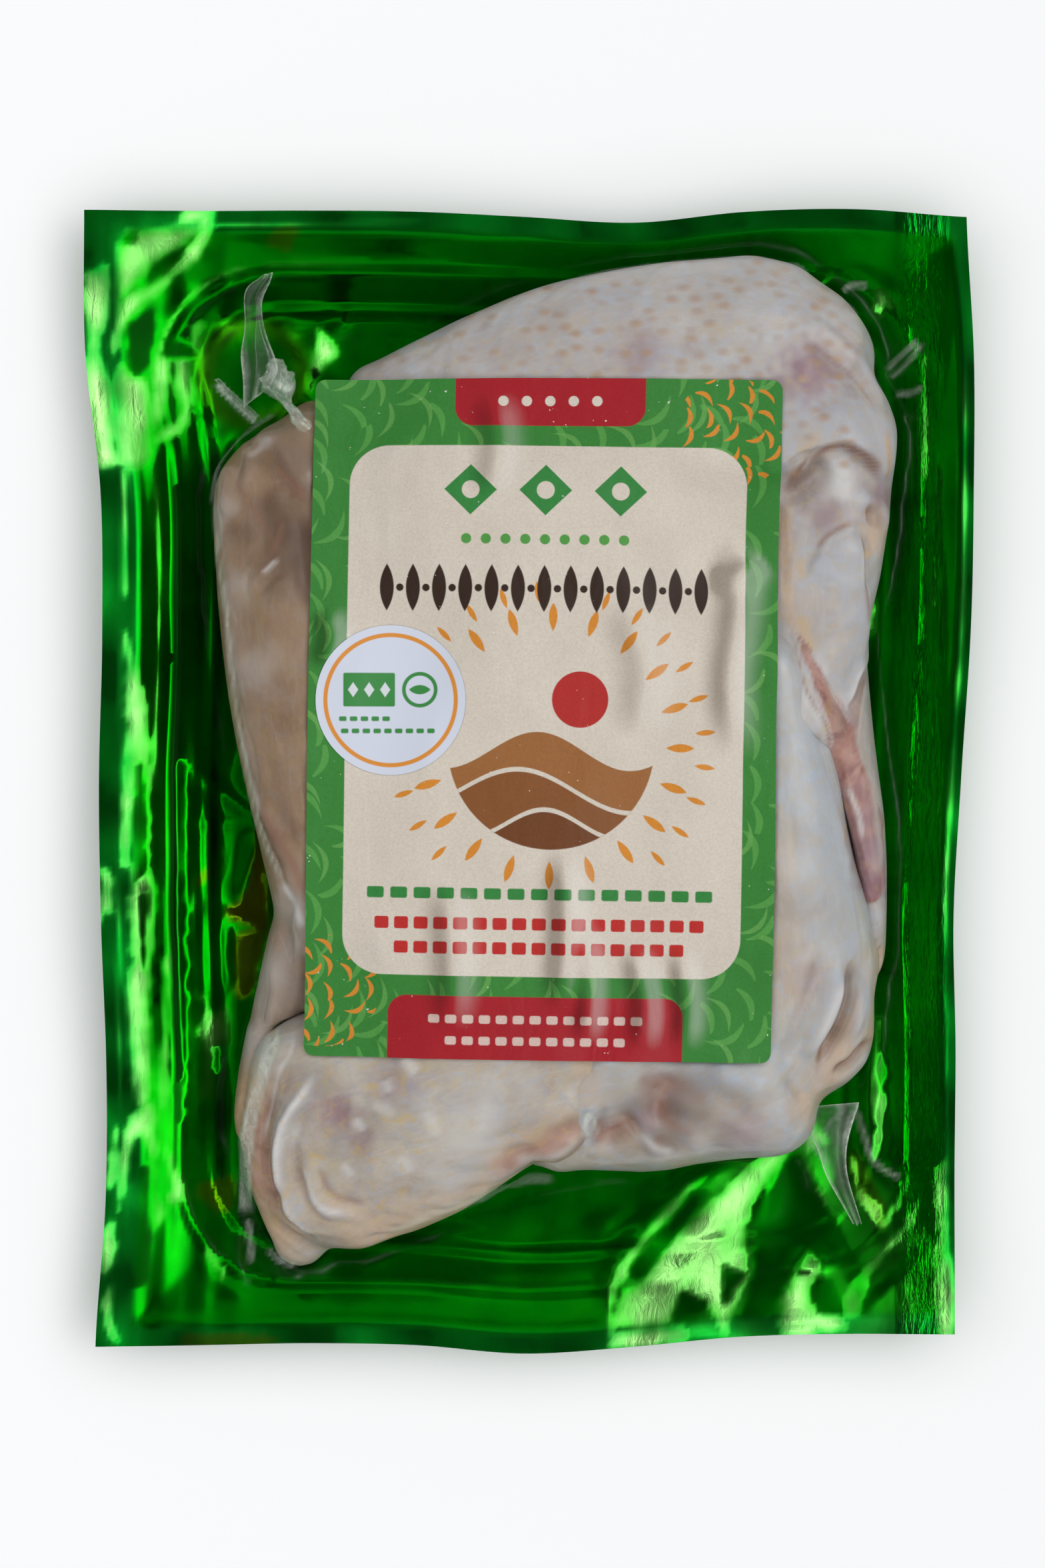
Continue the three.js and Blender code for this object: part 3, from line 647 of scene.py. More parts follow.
paint(foil, "rim", seal_rim)
layer = foil.data.attributes.new("lean", "FLOAT_VECTOR", "POINT")
layer.data.foreach_set("vector", np.column_stack([lean, np.zeros(len(at))]).astype(np.float32).ravel())
# Painted yellow reflection at the places above, and a faint one on the ring round the dent
painted_yellow_reflection = np.zeros(len(at))
for strength, outline in PAINTED_YELLOW_REFLECTIONS:
    painted_yellow_reflection = np.maximum(painted_yellow_reflection, strength * patch_share(at, outline, 0.8))
ring = np.hypot(*(at - DENT_PLACE).T) - DENT_RADIUS
paint(foil, "painted_yellow_reflection", np.maximum(painted_yellow_reflection, 0.22 * np.exp(-((ring / 2) ** 2))))
apply_modifier(foil, "SOLIDIFY", thickness=FOIL * MM, offset=-1, use_even_offset=False)
sharpen(foil)
low = places(foil)[:, 2].min()
print("foil: lowest point", round(low, 2), "mm,", len(foil.data.polygons), "faces")


def print_faces(piece):
    at = places(piece)
    faces = sum(len(p.vertices) - 2 for p in piece.data.polygons)
    low, high = np.round(at.min(axis=0), 1), np.round(at.max(axis=0), 1)
    print(piece.name, "-", faces, "triangles,", low, "to", high)


# %% [markdown]
# ## The wings
#
# The wings are soft, so a remeshed copy of each CAD solid is the start: its loose triangles are merged,
# a voxel remesh gives an even mesh, and smoothing rounds the places where two limbs meet. Then come the
# forms that the photo shows: a few places pushed out to the contour, skin folds, laps where one fold of
# skin ends on another, hollows, and gentle lumps all over. Each point also keeps the numbers that the
# skin's material reads later: how far it is along and across its limb, and shares of colour that are
# laid as strokes along lines, such as fat, painted shade in creases, painted gleams and painted shades.

# %% The folds of each wing's skin, in mm: line, height, width and further sizes
UPPER_WING_FOLDS = {"lap": [
    ([(51, 62), (54, 67), (56.7, 70.3), (60.6, 71.4), (66.5, 72), (70.4, 69.6), (73.7, 66.3), (77.5, 62)],
     3.6, 0.8, 9),
    ([(70.6, 55.4), (64.6, 51.8), (61.6, 48.3), (58.6, 43)], 1.8, 0.6, 6),
    ([(73, 22), (73.5, 29), (73, 34.5), (72.2, 41), (71.4, 43.7), (70.8, 50.3), (70.5, 56)], 2, 0.5, 5.5),
], "ridge": [
    ([(55, 98.5), (63, 96), (67, 92.5), (72, 88.5), (76, 84), (79, 79)], 1, 1.7),
    ([(57, 95), (63, 92), (68, 88), (72, 84), (75, 78)], -1, 2.4),
    ([(73.5, 94.5), (75, 88.5), (77.3, 84), (79, 78)], -0.9, 1.2),
    ([(54, 59), (59, 63), (62, 66), (65, 69)], -3.4, 3), ([(52, 66), (56, 68), (60, 70)], 0.8, 1.5),
    ([(58, 53), (63, 57), (68, 60)], -1.2, 3),
    ([(70.5, 57), (72.6, 60.4), (76.6, 58.6), (76, 53)], 1.2, 1.5),
    ([(72.5, 57), (74.5, 57.5)], -1.6, 1.6), ([(66, 14), (69, 18.5), (71, 24), (73, 29)], 1.2, 1.2),
    ([(63, 26), (66, 20), (69, 14)], -1, 1.6), ([(5, 72), (25, 70), (45, 66)], -0.7, 4),
    ([(68.5, 8), (70, -6), (70, -20), (68, -34)], -0.7, 2),
]}
RIGHT_WING_FOLDS = {"lap": [
    ([(66, -66), (68.5, -52), (71, -40), (70, -30.7), (67.1, -10.6), (61.2, 7.9), (55, 25)], 0.8, 0.8, 6),
], "ridge": [
    ([(69.6, -36), (69.4, -43), (68.6, -48.5), (66.6, -53.5), (64, -58.5), (62.2, -64)], -3.4, 1.7),
    ([(67, -39), (64.4, -48), (62, -54), (59.5, -61)], 1.9, 1.9),
    ([(71.5, -42), (70.5, -50), (67.5, -57)], 1.3, 2.6),
    ([(64.4, -62.9), (69.5, -61.7), (72.7, -58.2), (75.3, -55)], -2.2, 1.3),
    ([(52, -64), (58, -50.8), (62, -40), (64.6, -31)], -1, 2),
    ([(54.4, -63.3), (57, -66), (59.4, -69)], -1.1, 1.2), ([(38, -61), (45.3, -64.3), (51, -69)], 1, 2.6),
    ([(38, -66), (44, -69), (50, -75)], -0.8, 2.2), ([(31, -61), (28.5, -67), (27, -74)], -1.8, 3.2),
    ([(23.5, -71), (19, -75), (14, -77)], -2.4, 3.2),
    ([(22, -66), (24.7, -73), (27.5, -80), (30, -84)], 1.2, 2.1),
    ([(31, -70), (35, -77), (38, -82)], 0.9, 2), ([(16, -84), (28, -84.5), (42, -82)], -0.8, 1.5),
    ([(51, 20), (55, 4), (58, -14), (60, -28)], -0.8, 3),
]}
LOWER_WING_FOLDS = {"ridge": [
    ([(-46, -60), (-47.6, -65.4), (-52.2, -73.3), (-53.8, -79.5), (-53.6, -85.7), (-52.2, -88.6),
     (-49.3, -93.8), (-45, -101)], 2.6, 1.4),
    ([(-52.5, -60), (-57.5, -71), (-58.5, -79), (-57.6, -86), (-55, -92), (-50.5, -98)], -2.4, 2),
    ([(-45.5, -66), (-49, -72), (-50.8, -78), (-50, -85), (-47, -90.5), (-43, -96)], -1.4, 2),
    ([(-48.2, -80), (-47, -88.8), (-43.3, -92.5), (-39.6, -93.4), (-34, -95)], 1.3, 1.4),
    ([(-45.3, -82), (-44, -87.3), (-40.6, -90), (-34, -91.3)], -1, 1.5),
    ([(-56, -88.5), (-53.2, -90.3), (-49.5, -94), (-46.5, -99)], 0.9, 1),
    ([(-60, -91), (-56.1, -95.8), (-51.7, -99.5), (-45, -104)], -1, 1.3),
    ([(-13, -89), (-9, -87.2), (-1.5, -81.7), (4, -78), (13.5, -74)], 1.2, 1.5),
    ([(-8, -83.5), (1, -78.5), (7, -74.2), (16, -70.5)], -1.2, 2.2),
    ([(-43, -69), (-38, -70.5)], -0.9, 3.5), ([(-38, -74.5), (-34, -77)], -0.8, 3),
    ([(-33, -63), (-25, -69), (-20, -80)], 0.6, 4),
]}
LEFT_WING_FOLDS = {"lap": [
    ([(-62.5, 74), (-55.5, 71.6), (-52, 66.5), (-47.5, 60)], 2.2, 0.7, 6),
], "ridge": [
    ([(-61, 78), (-61.8, 72.8), (-60, 67.6), (-62.6, 60)], 1.1, 1.5),
    ([(-66, 71), (-65.5, 64), (-66, 56)], 0.9, 1.6), ([(-58, 66), (-57.5, 58), (-59.5, 50)], -0.9, 2.6),
    ([(-60, 41), (-56.3, 45.8), (-52, 49.5)], 0.8, 1), ([(-58.5, 40), (-54, 44.5), (-51, 46)], -0.7, 1.3),
    ([(-49.6, 60), (-48.5, 50), (-47.5, 36)], -1.8, 2.6),
    ([(-60.5, 0), (-56, -8.5), (-52, -16), (-48.5, -28)], 0.9, 1.7),
    ([(-57, -1), (-53, -8), (-49, -16)], -1, 1.8), ([(-50, -22), (-53, -31), (-51, -42)], -1.3, 1.6),
    ([(-56, -36), (-55, -46), (-58, -58)], 0.9, 1.4), ([(-50.5, -33), (-50, -43), (-53, -54)], 0.8, 1.4),
]}
# Where two wings are pressed together: line, height and width of the swelling on both sides
PRESSED = [
    ([(24, -50), (14.8, -61.1), (11.4, -67), (6.3, -77.3), (1.2, -83.3)], 2.4, 6),
    ([(50, 32), (54.5, 24), (65.8, 8.7), (71.5, -7.8), (75.2, -32.4), (76, -48)], 1.5, 4),
    ([(-58, -52), (-61, -66), (-63, -80)], 1, 3),
]
# Meat that shows between the skins of two wings, as outlines
MEAT = [
    (0.95, [(57.6, 31.2), (59.4, 29.6), (63.4, 22.8), (67.5, 17), (70.3, 11.2), (70.8, 6.3), (73.9, -0.3),
     (76.6, -7), (76.8, -15), (76.2, -23), (74.5, -25.6), (72.4, -23), (69.7, -14.5), (68.2, -7.5),
     (67.4, -2), (65.2, 6), (62.8, 12.8), (60.6, 22)]),
    (0.45, [(71.5, 24.8), (73.4, 22.4), (72.6, 15), (71.2, 7.5), (69.6, 11.5), (68.6, 16.4), (69.6, 20)]),
]
# Strokes of colour on the skin: line, half width and share, each list for one attribute. Meat, warm and
# fatty strokes are the skin's own colour; the crease strokes are painted shade in the creases, the gleam
# strokes painted highlights where the film shines on a fold, and the shade strokes painted shade
STROKES = {"meat": [
    ([(-10, -85), (-1, -80), (6, -76), (13, -72)], 2, 0.6),
    ([(76.3, 77), (75.4, 70), (77, 63.5)], 0.8, 0.4), ([(30, -61), (28, -68), (26.5, -75)], 3.2, 0.3),
    ([(24, -72), (19, -75.5), (13, -77)], 3, 0.35),
    ([(-58, -66), (-59, -78), (-58, -88), (-53, -96)], 2.6, 0.45),
# crease strokes: painted shade, dark lines in the creases and clefts between folds
], "painted_fold_shade_share": [
    ([(69, -38), (68.2, -43), (67, -49), (65.3, -54), (63, -59), (61.5, -64)], 0.9, 0.8),
    ([(64.4, -62.9), (69.5, -61.7), (72.7, -58.2), (75.3, -55)], 0.6, 0.8),
    ([(54, 61), (56.7, 65), (60, 69), (63, 71), (66.3, 71.9), (70.4, 70), (73.7, 66.3), (76, 63)], 0.7,
     0.9),
    ([(54.9, 38), (57, 29.5), (59.4, 18.9), (62.9, 12.3), (65.9, 5.1), (68.2, -4.4), (70.2, -14.7),
     (72.6, -23.7), (74.6, -33.8)], 0.35, 0.6),
    ([(70.9, 54.8), (71.3, 47.7), (71.6, 41), (72, 33)], 0.5, 0.7),
    ([(61.2, 49.2), (64.2, 52.8), (69.6, 55.9)], 0.6, 0.6),
    ([(-52.5, -60), (-57.5, -71), (-58.5, -79), (-57.6, -86), (-55, -92), (-50.5, -98)], 0.8, 0.5),
    ([(-52.6, -72), (-54.9, -79), (-54.7, -86), (-52.9, -89.5), (-49.8, -94.5), (-45.5, -101.5)], 0.4,
     0.7),
    ([(-45.3, -82), (-44, -87.3), (-40.6, -90), (-34, -91.3)], 0.6, 0.5),
    ([(-6.5, -86), (1.3, -81.8), (7.9, -78.2), (11.8, -76.2), (15, -76.6)], 0.35, 0.7),
    ([(23.5, -71), (19, -75), (14, -77)], 0.8, 0.6),
    ([(26.5, -68), (29.2, -71.8), (31.5, -73.8), (36, -75)], 1.3, 0.6),
    ([(22, -64.5), (31.5, -65.2), (35.3, -67), (39, -69)], 2.2, 0.45),
    ([(27.2, -75.5), (28.4, -79.2)], 1.1, 0.6), ([(14.8, -71.4), (15.2, -78.5)], 1.3, 0.6),
    ([(57, 95), (63, 92), (68, 88), (72, 84), (75, 78)], 0.5, 0.4),
    ([(-54.7, 67.7), (-51, 64.2), (-47.7, 60.1)], 0.6, 0.8),
    ([(-52.6, 56.6), (-54.7, 50.1), (-57.5, 44.2)], 0.7, 0.5),
    ([(-58.3, -4.1), (-54.1, -11.2), (-50.6, -17.1), (-47.6, -26.5)], 0.8, 0.7),
    ([(-64.1, 66.6), (-60.6, 60.7), (-52.4, 47.7)], 0.6, 0.4),
], "warm": [
    ([(-55, -58), (-60, -72), (-61, -86), (-56, -97), (-47, -105)], 5, 1),
    ([(-47, -105), (-30, -99), (-14, -92), (2, -83)], 5, 0.9),
    ([(-46, -88), (-38, -97), (-26, -97)], 6, 0.7), ([(-12, -84), (0, -78), (12, -70)], 3.5, 0.8),
    ([(16, -70), (26, -76), (40, -80)], 5, 0.6), ([(68, -42), (67, -54), (64, -66), (54, -74)], 5, 0.9),
    ([(76, -32), (77, -48), (72, -60)], 4, 0.9), ([(54, 66), (60, 71), (66, 70)], 3, 0.5),
    ([(71, 59), (75, 56), (73, 48)], 3, 0.9), ([(12, -57), (13, -64), (14, -71)], 3.2, 0.6),
    ([(54.6, 62), (55, 50), (55.5, 38), (58.5, 30)], 1.6, 0.9), ([(53, 40), (55, 34)], 7, 0.45),
    ([(50, -5), (53, -32), (58, -54)], 7, 0.5), ([(20, -66), (38, -74), (56, -70)], 6, 0.35),
], "fatty": [
    ([(75.6, 75.5), (75.3, 71), (76.6, 64.4)], 0.4, 0.9), ([(56.5, 70), (61.3, 74.6)], 0.9, 0.35),
    ([(58.3, 48), (58.2, 43)], 0.9, 0.4), ([(58.2, 36.5), (59.2, 32), (60.8, 27)], 1.3, 0.5),
    ([(72.6, 50), (72.2, 47.5)], 0.9, 0.6), ([(67.3, -9), (67.8, -13.5)], 0.6, 0.6),
    ([(62, 10.5), (61, 9)], 0.4, 0.6),
# gleam strokes: painted highlights, pale lines where the film shines on a fold
], "painted_gleam_share": [
    ([(61.1, 20.7), (63.2, 12.9), (65.6, 6.3)], 0.3, 0.6),
    ([(63.8, 21.9), (67.4, 15.9), (69.9, 12)], 0.4, 0.6),
    ([(68.8, -0.2), (70.2, -4), (71.5, -8), (72.4, -13)], 0.4, 0.8),
    ([(73.4, 3), (75, -6), (75.5, -15), (74.9, -22)], 1.4, 0.45),
    ([(60.6, 29), (65.4, 21), (69, 13)], 1.1, 0.35), ([(71.4, 25.5), (69.8, 21), (68.4, 16)], 0.45, 0.9),
    ([(73.4, 22.5), (72.4, 15), (70.9, 7)], 0.3, 0.5),
    ([(54, 35), (56.1, 29), (58.4, 18.9), (61.9, 12.3), (64.9, 5.1), (67.1, -4.4), (69, -14.7),
     (71.4, -23.7)], 0.6, 0.4),
    ([(58.6, 65.8), (60.2, 69.4), (62.6, 72)], 0.5, 0.5),
    ([(66.2, 69.5), (67.2, 64), (67, 59.5)], 1.7, 0.6),
    ([(61.9, 48.3), (64.8, 51.9), (69.9, 54.7)], 0.6, 0.8),
    ([(70.2, 54), (70.5, 47.7), (70.8, 42)], 0.5, 0.6),
    ([(67.2, -41.5), (64.8, -48.2), (62.4, -53.6), (60, -59)], 1.1, 0.7),
    ([(23.6, -75), (27.5, -78.3), (31.5, -80.2)], 0.9, 0.7),
    ([(17, -81.5), (28, -82), (42, -79)], 1.2, 0.3), ([(11.9, -76), (12.1, -73.4), (12.6, -71)], 0.4, 0.9),
    ([(-4, -82.3), (3, -79.2), (10.8, -75)], 0.9, 0.5),
    ([(-45.8, -62), (-47.6, -65.4), (-52.2, -73.3), (-53.8, -79.5), (-53.6, -85.7), (-52.2, -88.6)], 0.9,
     1),
    ([(-53, -87.5), (-49.3, -93.8), (-45, -101)], 0.4, 0.6),
    ([(-48.8, -82), (-46.9, -89), (-43.5, -91.9), (-38.6, -92.6)], 0.6, 0.8),
    ([(-50.2, -52), (-51.2, -58), (-53.8, -62.3), (-57.6, -72), (-59.3, -79.5)], 0.5, 0.6),
    ([(-31, -63.6), (-29.6, -66.6)], 1.5, 0.7), ([(-26.8, -58.6), (-23.6, -62.4)], 1.4, 0.8),
    ([(-37.4, -72), (-35.4, -75.2)], 1.1, 0.6), ([(-40.2, -81.6), (-37.6, -85)], 1, 0.7),
    ([(-34, -69), (-28, -71)], 1.2, 0.4), ([(-22, -70), (-19.5, -76)], 1.3, 0.5),
    ([(-28, -80), (-25, -84)], 1, 0.5), ([(-53.6, 47.7), (-57.1, 44.2)], 0.4, 0.6),
    ([(-52.8, -21), (-50.4, -27), (-48.3, -32)], 0.9, 0.9),
    ([(-67.7, 61.5), (-66.8, 56), (-66.9, 49)], 0.5, 0.5),
    ([(-60.5, 69), (-58, 72), (-54, 72.5)], 0.8, 0.4), ([(-63, 14), (-59.5, -1), (-56.5, -8)], 0.5, 0.5),
# shade strokes: painted shade under laps, in hollows and beside the label
], "shade": [
    ([(54.4, 60.6), (57.5, 63.5), (60.4, 66.6), (62.3, 69.6), (64, 71)], 1.5, 0.5),
    ([(66.3, 71.4), (70.8, 69.9), (73.4, 66.6)], 1.1, 0.35),
    ([(71, 58.6), (73.5, 58.8), (75.3, 57.5), (74, 54)], 1.2, 0.35),
    ([(54.8, 62), (55, 50), (55, 40)], 0.9, 0.3), ([(71.9, 54), (72.4, 47), (72.1, 40)], 0.9, 0.3),
    ([(69.2, -37.6), (69.6, -43), (69.4, -48), (67.6, -53), (64.8, -58)], 1.7, 0.55),
    ([(-49, -59.5), (-53.6, -69.4), (-55.8, -77.6), (-56.6, -84)], 1.3, 0.35),
    ([(15.9, -78), (15.6, -73), (17, -68)], 1.4, 0.4), ([(23, -62), (28, -66), (34.5, -69)], 2.4, 0.55),
    ([(37, -64.5), (38.6, -68)], 1.8, 0.4), ([(29.3, -71), (29.9, -75.6)], 0.9, 0.4),
    ([(-5.5, -84), (1.5, -78.6), (7, -74), (11, -70)], 1.2, 0.3),
    ([(-55.5, 67.4), (-51.6, 63.6), (-48.4, 59)], 1.2, 0.5),
    ([(-48, 57), (-47.6, 45), (-47, 36)], 2.2, 0.4), ([(-58.8, -5), (-54.8, -12), (-52, -20)], 0.9, 0.4),
]}
# Bruises: place, reach and share
BRUISES = [
    ((59.5, 87.5), 6, 1), ((57, 90), 3, 0.7), ((24, 91), 5, 0.55), ((76.4, 62), 3, 0.8),
    ((64, 57), 4, 0.55), ((73.2, -15), 4, 1), ((72.2, -8), 3, 0.7), ((73.8, -22), 3, 1),
    ((70.8, -2), 2.6, 0.5), ((-41.5, -71), 4.2, 0.8), ((-29, -64), 4, 0.4), ((-36.5, -77), 3, 0.5),
    ((24.6, -72), 2.2, 0.5), ((47, -76), 5, 0.4), ((46, 10), 5, 0.4), ((60, -42), 4, 0.35),
]

# %% A wing's skin from its CAD solid
SKIN_VOXEL = 0.8
SMOOTHINGS = 60
SKIN_UNDER = 0.5


def skin_from(node, name):
    take_up(frame["nodes"][node])
    bpy.ops.object.duplicate()
    skin = bpy.context.object
    skin.name = skin.data.name = name
    bpy.ops.object.parent_clear(type="CLEAR_KEEP_TRANSFORM")
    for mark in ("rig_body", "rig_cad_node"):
        del skin[mark]
    bpy.ops.object.mode_set(mode="EDIT")
    bpy.ops.mesh.select_all(action="SELECT")
    bpy.ops.mesh.remove_doubles(threshold=0.02 * MM)
    bpy.ops.object.mode_set(mode="OBJECT")
    skin.data.materials.clear()
    apply_modifier(skin, "REMESH", mode="VOXEL", voxel_size=SKIN_VOXEL * MM, use_smooth_shade=True)
    apply_modifier(skin, "SMOOTH", factor=0.5, iterations=SMOOTHINGS)
    return skin


# A line along the middle of each limb, which the grain of its skin follows
SPINES = {
    "upper": [(-45, 66), (-5, 84), (40, 92), (66, 84), (74, 60), (73, 30), (70, 0), (74, -30)],
    "right": [(44, 30), (52, 0), (60, -35), (58, -60), (40, -72), (10, -80)],
    "lower": [(20, -62), (-15, -76), (-40, -84), (-58, -100)],
    "left": [(-60, 78), (-58, 30), (-52, -12), (-54, -45), (-60, -85), (-62, -96)],
}
# Where a limb bulges further out or lies lower: place, shift and reach
PUSHES = {"upper": [
    ((7, 100), (0, 2.4, 0), 17), ((29, 106), (0, 1.3, 0), 12), ((69, 95), (2.3, 1.5, 0), 9),
    ((54, 26), (0, 0, -3.5), 10),
], "right": [
    ((55.5, -74), (3.2, -3.4, 0), 10), ((53, 24), (2, 5, 3.5), 9), ((72, -14), (-2.2, 0, 0), 15),
    ((9, -76), (0, 0, -2.5), 6),
], "lower": [
    ((8, -76), (5, -1, 1.5), 8),
], "left": [
    ((-47, 79), (0, 5.5, 2), 7),
]}
# Broad darker places (below zero) and paler ones: place, reach and amount. The darker places are painted
# shade in hollows and beside the label, with some darker tone; the paler places are partly the skin's own
# paler tone and partly painted light on places that lie in shade.
SHADE_LIGHT_AND_TONE_SPOTS = [
    ((35.5, -66.5), 8, -0.5), ((25, -70), 7, -0.5), ((30, -77), 7, -0.35), ((43, -75), 6, -0.25),
    ((-45.8, -64), 6, -0.35), ((-39, -76), 6, -0.25), ((-51, -76), 3.5, 0.5), ((-13, -78), 8, 0.4),
    ((-8, -66), 8, 0.25), ((-21, -84), 5, 0.3), ((-50, 49), 9, -0.85), ((-56, 58), 7, -0.4),
    ((-52, 69), 6, -0.35), ((-65, 59), 5, 0.25), ((-62, 42), 5, 0.3), ((-59, 24), 6, 0.25),
    ((-51, -29), 6, 0.35), ((-56, -42), 6, 0.4), ((-60, -56), 6, 0.4), ((58.5, -27), 7, -0.28),
    ((59, -10), 5, -0.12), ((67, -47), 4, 0.2), ((66, 64.5), 4.5, 0.5), ((74.5, 61.5), 4, -0.3),
    ((57.5, 76), 5, -0.05), ((60, 56), 5, -0.15), ((57, 20), 5, 0.25), ((57, 92), 10, 0.12),
    ((30, 92), 14, 0.1),
]


# Heights in mm and slopes between which a fold sets in, and where the plucked follicles begin and end
ABOVE_FLOOR, FACING_UP = (2, 9), (0.05, 0.6)
PLUCKED_FROM, PLUCKED_TO = (56, 70), (66, 76)


def stroked(flat, strokes, ragged):
    """The highest share that any stroke has at each point."""
    shares = np.zeros(len(flat))
    for line, width, most in strokes:
        distance, _, way = along_line(flat, line)
        here = most * np.exp(-((distance / width / (1 + 0.5 * ragged)) ** 2)) * ends_off(way, 0.2)
        shares = np.maximum(shares, here)
    return shares


def form_skin(part, folds, seed, lumpy):
    node = "wing_" + part
    skin = skin_from(node, "skin_" + node)
    at, facing = places(skin), normals(skin)
    for place, shift, reach in PUSHES.get(part, []):
        at += np.outer(near(at[:, :2], place, reach), shift)
    flat = at[:, :2]
    form = relief(flat, folds)
    lumped = lumpy * lumps(flat + 0.5 * at[:, 2:], 17, seed)
    lumped += 0.4 * lumpy * lumps(flat + at[:, 2:], 6.5, seed + 1)
    above, upward = soft_step(at[:, 2], *ABOVE_FLOOR), soft_step(facing[:, 2], *FACING_UP)
    swell = sum(ridge(flat, line, high, wide, 0.12) for line, high, wide in PRESSED)
    moved = at + facing * ((form * (0.35 + 0.65 * upward) + lumped * upward + swell) * above)[:, None]
    low, high = [np.array(corner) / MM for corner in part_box(node)]
    moved[:, 2] = np.clip(moved[:, 2], low[2], high[2] - SKIN_UNDER)
    move_to(skin, moved)
    # The relief also drives painted shade: the material darkens the valleys, pales and cools the ridges as
    # painted light, and darkens the skin a little near the floor
    paint(skin, "relief", np.clip(0.5 + form / 4 + lumped / 6, 0, 1) * above + 0.35 * (1 - above))
    ragged = 0.35 * lumps(flat, 3, 71) + 0.25 * lumps(flat, 7, 72)
    strokes = {}
    for name, lines in STROKES.items():
        strokes[name] = stroked(flat, lines, ragged if name == "warm" else 0)
    for share, outline in MEAT:
        strokes["meat"] = np.maximum(strokes["meat"], share * patch_share(flat, outline, 0.45))
    bruise = np.zeros(len(flat))
    for place, reach, share in BRUISES:
        distance = np.hypot(*(flat - place).T) * (1 + 0.6 * ragged)
        bruise = np.maximum(bruise, share * np.exp(-((distance / reach) ** 2)))
    paint(skin, "bruise", bruise)
    # Painted shade from the darker places and the shade strokes, and painted light with some paler tone
    # from the paler places
    uneven = 1 + 0.25 * lumps(flat, 9, 73)
    tone = sum(amount * near(flat, place, reach * uneven) for place, reach, amount in SHADE_LIGHT_AND_TONE_SPOTS)
    paint(skin, "painted_shade_and_darker_tone", np.clip(np.maximum(-tone, strokes.pop("shade")), 0, 1))
    paint(skin, "painted_light_and_paler_tone", np.clip(tone, 0, 1))
    for name, shares in strokes.items():
        paint(skin, name, shares)
    distance, side, way = along_line(flat, SPINES[part])
    length = np.hypot(*np.diff(smooth_line(SPINES[part]), axis=0).T).sum()
    paint(skin, "along", way * length)
    paint(skin, "across", distance * side)
    plucked = soft_step(flat[:, 1], *PLUCKED_FROM) * (1 - soft_step(flat[:, 0], *PLUCKED_TO))
    paint(skin, "plucked", plucked)
    print_faces(skin)
    return skin


# %% The four wings
wings = {
    "upper": form_skin("upper", UPPER_WING_FOLDS, 21, 0.25),
    "right": form_skin("right", RIGHT_WING_FOLDS, 31, 0.22),
    "lower": form_skin("lower", LOWER_WING_FOLDS, 41, 0.4),
    "left": form_skin("left", LEFT_WING_FOLDS, 51, 0.3),
}

# %% [markdown]
# ## The clear film
#
# The film is a flat sheet that the vacuum presses onto the foil and the wings. A cloth simulation could
# press it down, but the real film is stretched tight, so the highest thing under each point decides its
# height: a fine grid is projected straight down, and then a ball is rolled over it from above. The ball
# can't enter narrow clefts, and leaves a round bridge there, just as the tight film does. The film only
# shines where it is free of the foil, since a film that is sealed to a mirror shows no gloss of its own.

# %% The film, laid on what is under it
FILM_MARGIN = 0.5
FILM_COLUMNS, FILM_ROWS = 226, 290
FILM_START = 60
FILM_BALL = 2.6
FILM_LIFT = 0.12
FILM_FOLDS = {"ridge": [
    ([(66, 104), (71, 102), (77, 98)], 1.6, 1.2), ([(79, 90), (84, 95), (90, 94)], 1.2, 1),
    ([(80, 82), (85, 80), (89, 82)], 1, 0.9), ([(55, 114), (62, 111), (70, 111)], 1, 1.2),
    ([(-22, -98.5), (-17, -96), (-11, -92), (-7, -89)], 1.5, 1.2),
    ([(-6, -91), (2, -91), (15, -89), (30, -88)], 1.5, 1.4),
    ([(-62.8, -95), (-63.5, -104), (-62, -112)], 1.6, 1.3),
    ([(-58, -104), (-53, -109), (-49, -108)], 1.2, 1.2),
    ([(-71, 62), (-70, 48), (-67, 32), (-64, 12)], 0.8, 0.9), ([(56, -78), (60, -86), (62, -94)], 1.2, 1),
    ([(76, -56), (77, -68), (79, -76)], 0.8, 0.9), ([(12.2, -77.5), (12.4, -71), (14.5, -69.5)], 1.6, 0.8),
    ([(70.5, -69), (74, -76), (76, -84)], 1.2, 0.9), ([(-35, 92), (-40, 97), (-48, 99)], 0.9, 1.1),
]}
